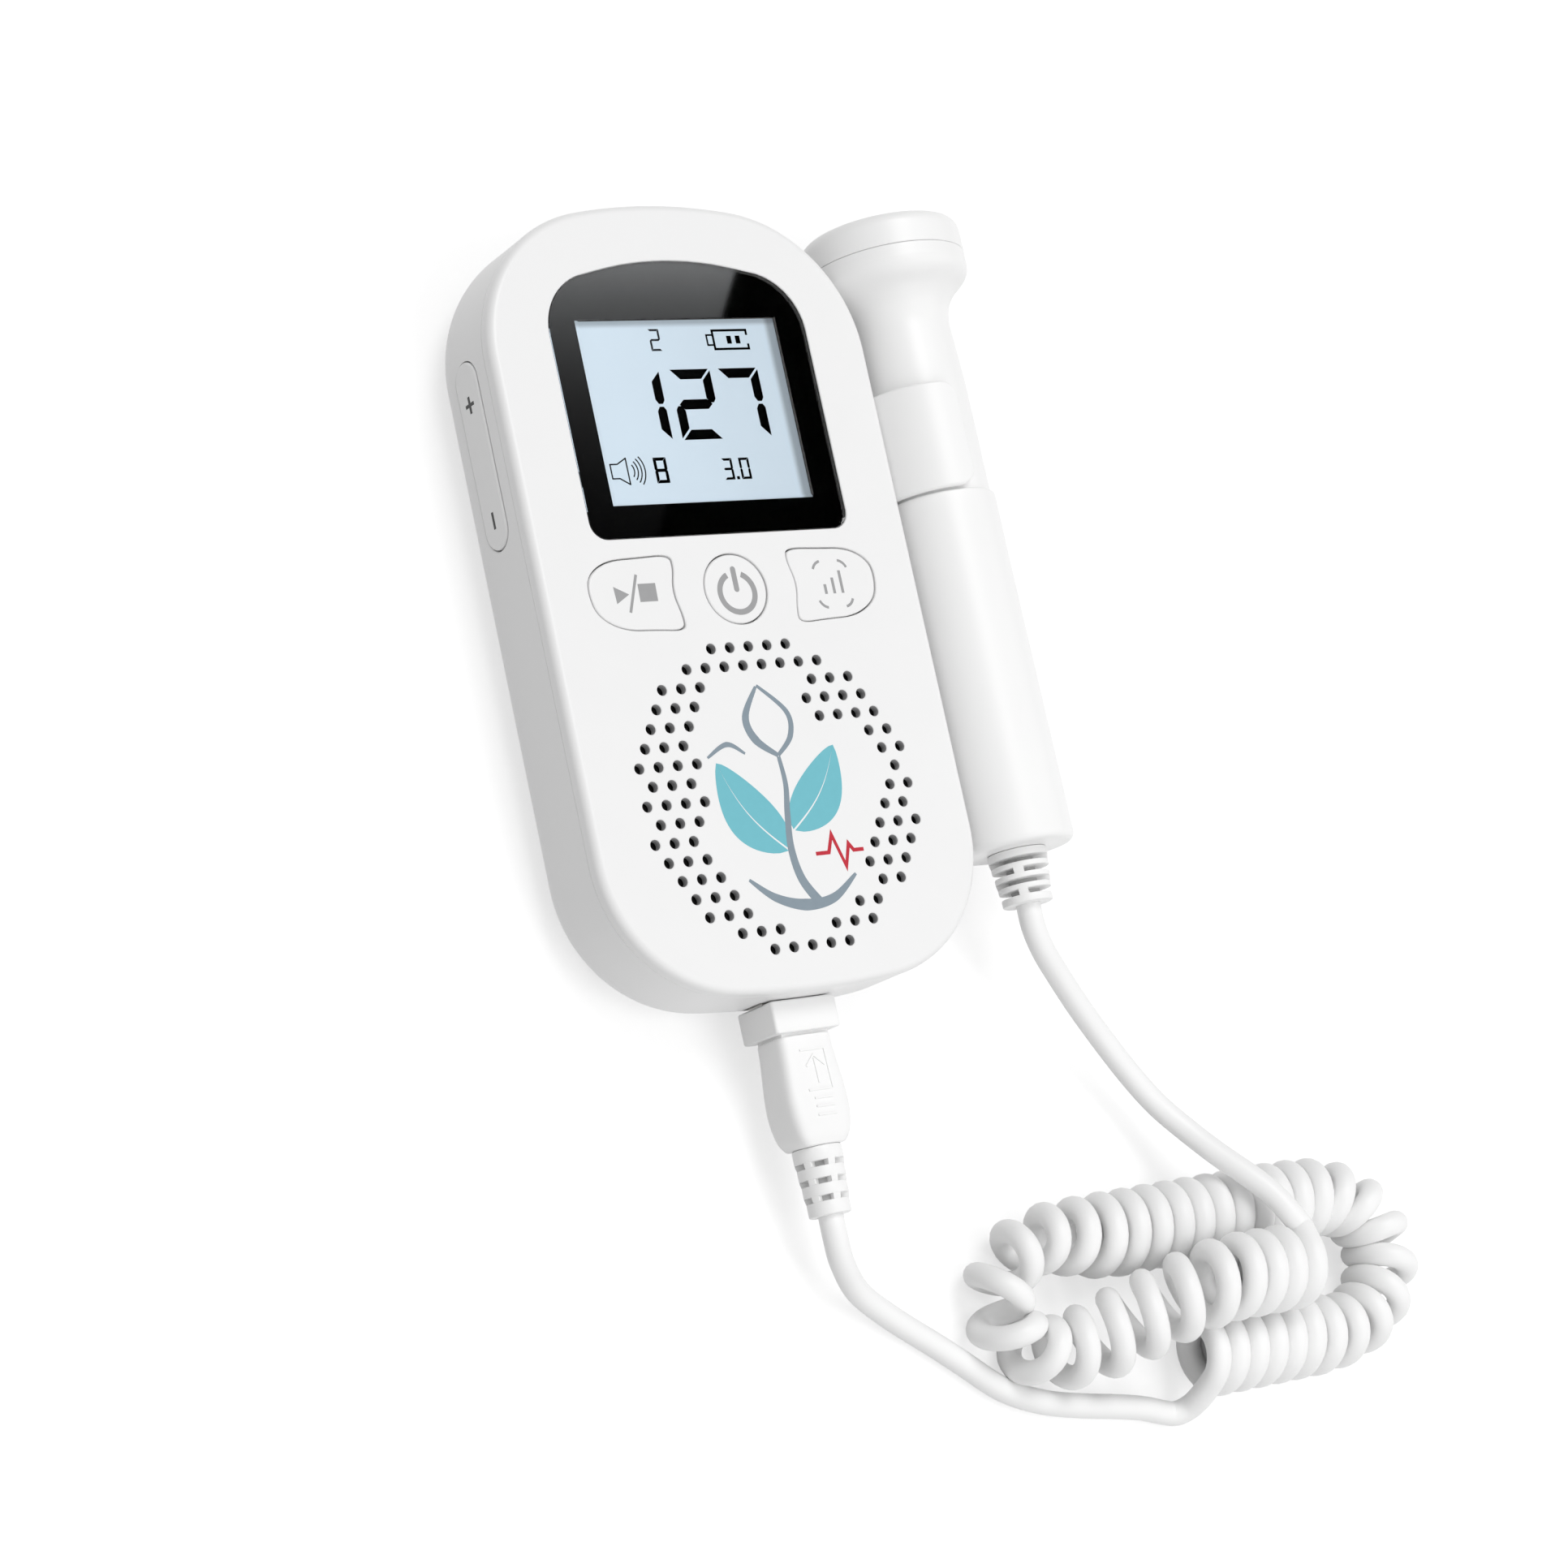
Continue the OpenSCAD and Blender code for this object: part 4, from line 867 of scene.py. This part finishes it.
def clip():
    """C-shaped arm with rounded free corners, and the foot that joins it to the wall."""
    half, mid, thick = 9.5, 24.0, 0.8   # half width, y of its middle, half thickness
    a0, a1, mean = -185.3, 5.3, 10.7    # from and to these angles, at this mean radius
    corner, edge = 3.2, 0.5
    total = math.radians(a1 - a0) * mean
    stops = [0, 0.12, 0.3, edge, 0.9, 1.4, 2.0, 2.6, corner]
    n = 56
    along = (stops + [corner + (total - 2 * corner) * i / n for i in range(1, n)]
             + [total - q for q in stops[::-1]])
    rings = []
    for q in along:
        e = min(q, total - q)
        h, t = half - rolled(corner, e), thick - rolled(edge, e)
        c = min(edge, t)
        section = (arc(h - c, t - c, c, 0, 90, 4) + arc(-h + c, t - c, c, 90, 180, 4)
                   + arc(-h + c, -t + c, c, 180, 270, 4) + arc(h - c, -t + c, c, 270, 360, 4))
        a = math.radians(a0) + q / mean
        rings.append([(PX + (mean + out) * math.sin(a), mid + y, PZ + (mean + out) * math.cos(a))
                      for y, out in section])
    b = Build().loft(rings)
    foot = [p for y, z, first in ((17.2, 10.7, 180), (30.8, 10.7, 270), (30.8, 18.8, 0), (17.2, 18.8, 90))
            for p in arc(y, z, 1.2, first, first + 90, 5)]
    b.loft([[(x, y, z) for y, z in foot] for x in (HALF_W - 0.02, 40.0)])
    dress(b.object("clip_arm", PROBE_WHITE_PAINTED_LIGHT), "unit", ["probe_clip"])


clip()


# ---------------------------------------------------------------- strain reliefs
def relief(name, r1, r2, h, hole, count, place, body, node, windows, turn, offset):
    """Ribbed sleeve, tapered in steps from r1 to r2: count rows of windows down to its core, the ribs
    between a row's windows turned from row to row; place puts (across, across, along) in the frame."""
    core, step = hole + 0.35, 0.06
    window, bevel, lip = 0.45, 0.51, 0.3   # half heights of a window and its bevel, rounding of the ends
    rows = [i * h / (count + 1) for i in range(1, count + 1)]
    span = 360 / windows
    rib = 2.0 if windows < 4 else 1.5
    heights = [0.0, 0.12, lip]
    for row in rows:
        heights += [row + d for d in (-0.62, -0.5, -0.44, 0.44, 0.5, 0.62)]
    heights += [h - lip, h - 0.12, h]
    angles = [360 * i / 120 for i in range(120)]
    end = [(hole, a) for a in angles]
    rings = [(0.0, end)]
    for t in heights:
        # each ring between two rows is a short cylinder: a stepped taper
        k = sum(1 for row in rows if row < t - 0.001)
        base = r1 + (r2 - r1) * (k + 0.5) / (count + 1) - rolled(lip, min(t, h - t))
        section = []
        for a in angles:
            r = base
            for i, row in enumerate(rows):
                if abs(t - row) < window:
                    phase = (a - offset - turn * i) % span
                    if min(phase, span - phase) > math.degrees(rib / base) / 2:
                        r = core
                elif abs(t - row) < bevel:
                    r = base - step
            section.append((r, a))
        rings.append((t, section))
    rings.append((h, end))
    b = Build().loft([[place(r * math.cos(math.radians(a)), r * math.sin(math.radians(a)), t)
                       for r, a in section] for t, section in rings], loop=True)
    ob = b.object(name, MATS["white_flex"])
    # the windows' floors get a grey painted shade
    ob.data.materials.append(RECESS_SHADE)
    x0, y0, z0 = place(0, 0, 0)
    for f in ob.data.polygons:
        x, y, z = (q / MM for q in f.center)
        if math.hypot(x - x0, z - z0) < core + 0.02 and 0.5 < abs(y - UP - y0) < h - 0.5:
            f.material_index = 1
    return dress(ob, body, [node], 40)


relief("probe_sleeve", 5.3, 4.3, 9.4, TUBE_D / 2 + 0.02, 4,
       lambda u, v, t: (PX + u, -48.72 - t, PZ + v), "probe", "probe_relief", 2, 90, 40)
sleeve = relief("plug_sleeve", 4.3, 3.5, 11.4, TUBE_D / 2 + 0.02, 3,
                lambda u, v, t: (u, -93.22 - t, PLUG_Z + v), "plug", "plug_relief", 6, 0, 34)


# ---------------------------------------------------------------- plug
def rounded_section(x, z, r, n=6):
    return (arc(x - r, z - r, r, 0, 90, n) + arc(-x + r, z - r, r, 90, 180, n)
            + arc(-x + r, -z + r, r, 180, 270, n) + arc(x - r, -z + r, r, 270, 360, n))


BULGE = 0.36   # the grip's section: 1 an ellipse, 0 a rectangle


def plug():
    """Collar, grip and the raised arrow and lines on the grip."""
    rings = [(0.5, -68.8), (0.16, -68.9), (0, -69.15), (0, -73.95), (0.12, -74.2), (0.4, -74.3)]
    b = Build().loft([[(x, y, PLUG_Z + z) for x, z in rounded_section(6.4 - d, 5.5 - d, 0.55)]
                      for d, y in rings])
    collar = dress(b.object("plug_collar_block", MATS["white_flex"]), "plug", ["plug_collar"])
    steps = [(-93.2, 4.1, 3.9), (-91.4, 5.2, 4.6), (-88, 5.9, 4.9), (-84, 5.95, 4.8), (-78, 5.4, 4.5),
             (-75.1, 5.25, 4.4)]   # y, half width, half height
    fine = [(p.x, p.y, p.z) for p in spline(steps, 6)]
    fine = [(-93.2, 3.4, 3.2), (-93.15, 3.9, 3.7)] + fine[1:] + [(-74.85, 5.15, 4.3), (-74.7, 4.9, 4.05)]

    def section(w, h, y, n=96):
        out = []
        for i in range(n):
            a = 2 * math.pi * i / n
            c, s = math.cos(a), math.sin(a)
            out.append((math.copysign(w * abs(c) ** BULGE, c), y,
                        PLUG_Z + math.copysign(h * abs(s) ** BULGE, s)))
        return out
    b = Build().loft([section(w, h, y) for y, w, h in fine])
    b.box((-4.6, -74.9, PLUG_Z - 3.8), (4.6, -74.3, PLUG_Z + 3.8))
    grip = dress(b.object("plug_grip_body", MATS["white_flex"]), "plug", ["plug_grip"])

    def top_z(x, y):
        """Height of the grip's upper face."""
        for (y0, w0, h0), (y1, w1, h1) in zip(fine, fine[1:]):
            if y0 <= y <= y1:
                u = (y - y0) / (y1 - y0)
                w, h = w0 + (w1 - w0) * u, h0 + (h1 - h0) * u
                return PLUG_Z + h * (1 - min(1, abs(x / w)) ** (2 / BULGE)) ** (BULGE / 2)
        return PLUG_Z
    shapes = [stroke(p, [0.32, 0.32], smooth=False) for p in (
        [(-2.2, -77.4), (2.6, -77.4), (2.6, -84.2)], [(-2.2, -84.2), (2.2, -84.2)],
        [(-1.6, -80.2), (0.2, -78.4), (2.0, -80.2)], [(0.2, -78.9), (0.2, -83.2)],
        [(-1.4, -85.6), (2.2, -85.6)], [(-1.4, -87.0), (2.2, -87.0)], [(-1.4, -88.4), (2.2, -88.4)])]
    b = Build()
    for p in shapes:
        b.loft([[(x, y, top_z(x, y) + rise) for x, y in p] for rise in (-0.1, 0.2)])
    emboss = dress(b.object("plug_emboss", MATS["white_flex"]), "plug", angle=20,
                   weighted=False)
    return [collar, grip, emboss]


plug_pieces = plug() + [sleeve]


# ---------------------------------------------------------------- stage: floor, light, mirrored panel
def stage_plane(name, corners, material):
    me = bpy.data.meshes.new(name)
    me.from_pydata([Vector(c) for c in corners], [], [tuple(range(len(corners)))])
    me.materials.append(material)
    ob = bpy.data.objects.new(name, me)
    bpy.context.scene.collection.objects.link(ob)
    return ob


def floor():
    """Pale floor that glows where it is seen, so that it shows as white as the surroundings."""
    m, nt, shader = principled("floor_white")
    shader.inputs["Base Color"].default_value = (0.56, 0.56, 0.56, 1)
    shader.inputs["Roughness"].default_value = 1.0
    shader.inputs["Specular IOR Level"].default_value = 0.0
    shader.inputs["Emission Color"].default_value = (1, 1, 1, 1)
    seen = seen_by(nt, "Is Camera Ray", "Is Glossy Ray", "Is Transmission Ray")
    nt.links.new(calc(nt, "MULTIPLY", seen, 0.58), shader.inputs["Emission Strength"])
    z = -0.00005
    stage_plane("floor", [(-6, -6, z), (6, -6, z), (6, 6, z), (-6, 6, z)], m)


def mirrored_panel():
    """What the black window mirrors: a soft panel fading towards the user, black beyond its edge."""
    m, nt, shader = principled("soft_panel")
    shader.inputs["Base Color"].default_value = (0, 0, 0, 1)
    shader.inputs["Specular IOR Level"].default_value = 0.0
    shader.inputs["Emission Color"].default_value = (0.96, 0.98, 1, 1)
    at = coordinates(nt)
    x, y = at["X"], at["Y"]
    fade = calc(nt, "POWER", 2.718, calc(nt, "DIVIDE", calc(nt, "SUBTRACT", y, 0.426), 0.0296))
    edge = calc(nt, "ADD", 0.558, calc(nt, "MULTIPLY", calc(nt, "SUBTRACT", y, 0.3097), 0.575))
    inside = remap(nt, calc(nt, "SUBTRACT", edge, x), source=(-0.002, 0.002), smooth=True)
    strength = calc(nt, "MULTIPLY", calc(nt, "MULTIPLY", fade, inside), 1.6)
    nt.links.new(strength, shader.inputs["Emission Strength"])
    z = 0.9
    ob = stage_plane("soft_panel", [(0.42, 0.24, z), (0.86, 0.24, z), (0.86, 0.50, z), (0.42, 0.50, z)], m)
    ob.visible_camera = ob.visible_diffuse = ob.visible_shadow = False


def world():
    """Even white surroundings: dimmer as a light and in reflections than where they are seen."""
    w = bpy.data.worlds.new("studio")
    bpy.context.scene.world = w
    w.use_nodes = True
    nt = w.node_tree
    light = nt.nodes["Background"]
    light.inputs["Color"].default_value = (1, 1, 1, 1)
    seen = seen_by(nt, "Is Camera Ray", "Is Transmission Ray")
    nt.links.new(remap(nt, seen, target=(0.495, 1.0)), light.inputs["Strength"])


def lamp(name, kind, energy, towards, place=(0, 0, 0), **more):
    data = bpy.data.lights.new(name, kind)
    data.energy = energy
    for key, value in more.items():
        setattr(data, key, value)
    ob = bpy.data.objects.new(name, data)
    bpy.context.scene.collection.objects.link(ob)
    ob.location = place
    ob.rotation_mode = "QUATERNION"
    ob.rotation_quaternion = Vector(towards).to_track_quat("Z", "Y")
    ob.visible_glossy = kind == "SUN"   # the window mirrors no fill


floor()
mirrored_panel()
world()
lamp("key", "SUN", 0.88, (0.0, 0.42, 0.9), angle=math.radians(28))
lamp("fill_above", "AREA", 1.9, (0.2, -0.25, 0.9), (0.22, -0.29, 0.95), shape="DISK", size=0.5)
lamp("fill_near", "AREA", 1.7, (0.05, -0.72, 0.64), (0.1, -0.76, 0.66), shape="DISK", size=0.6)
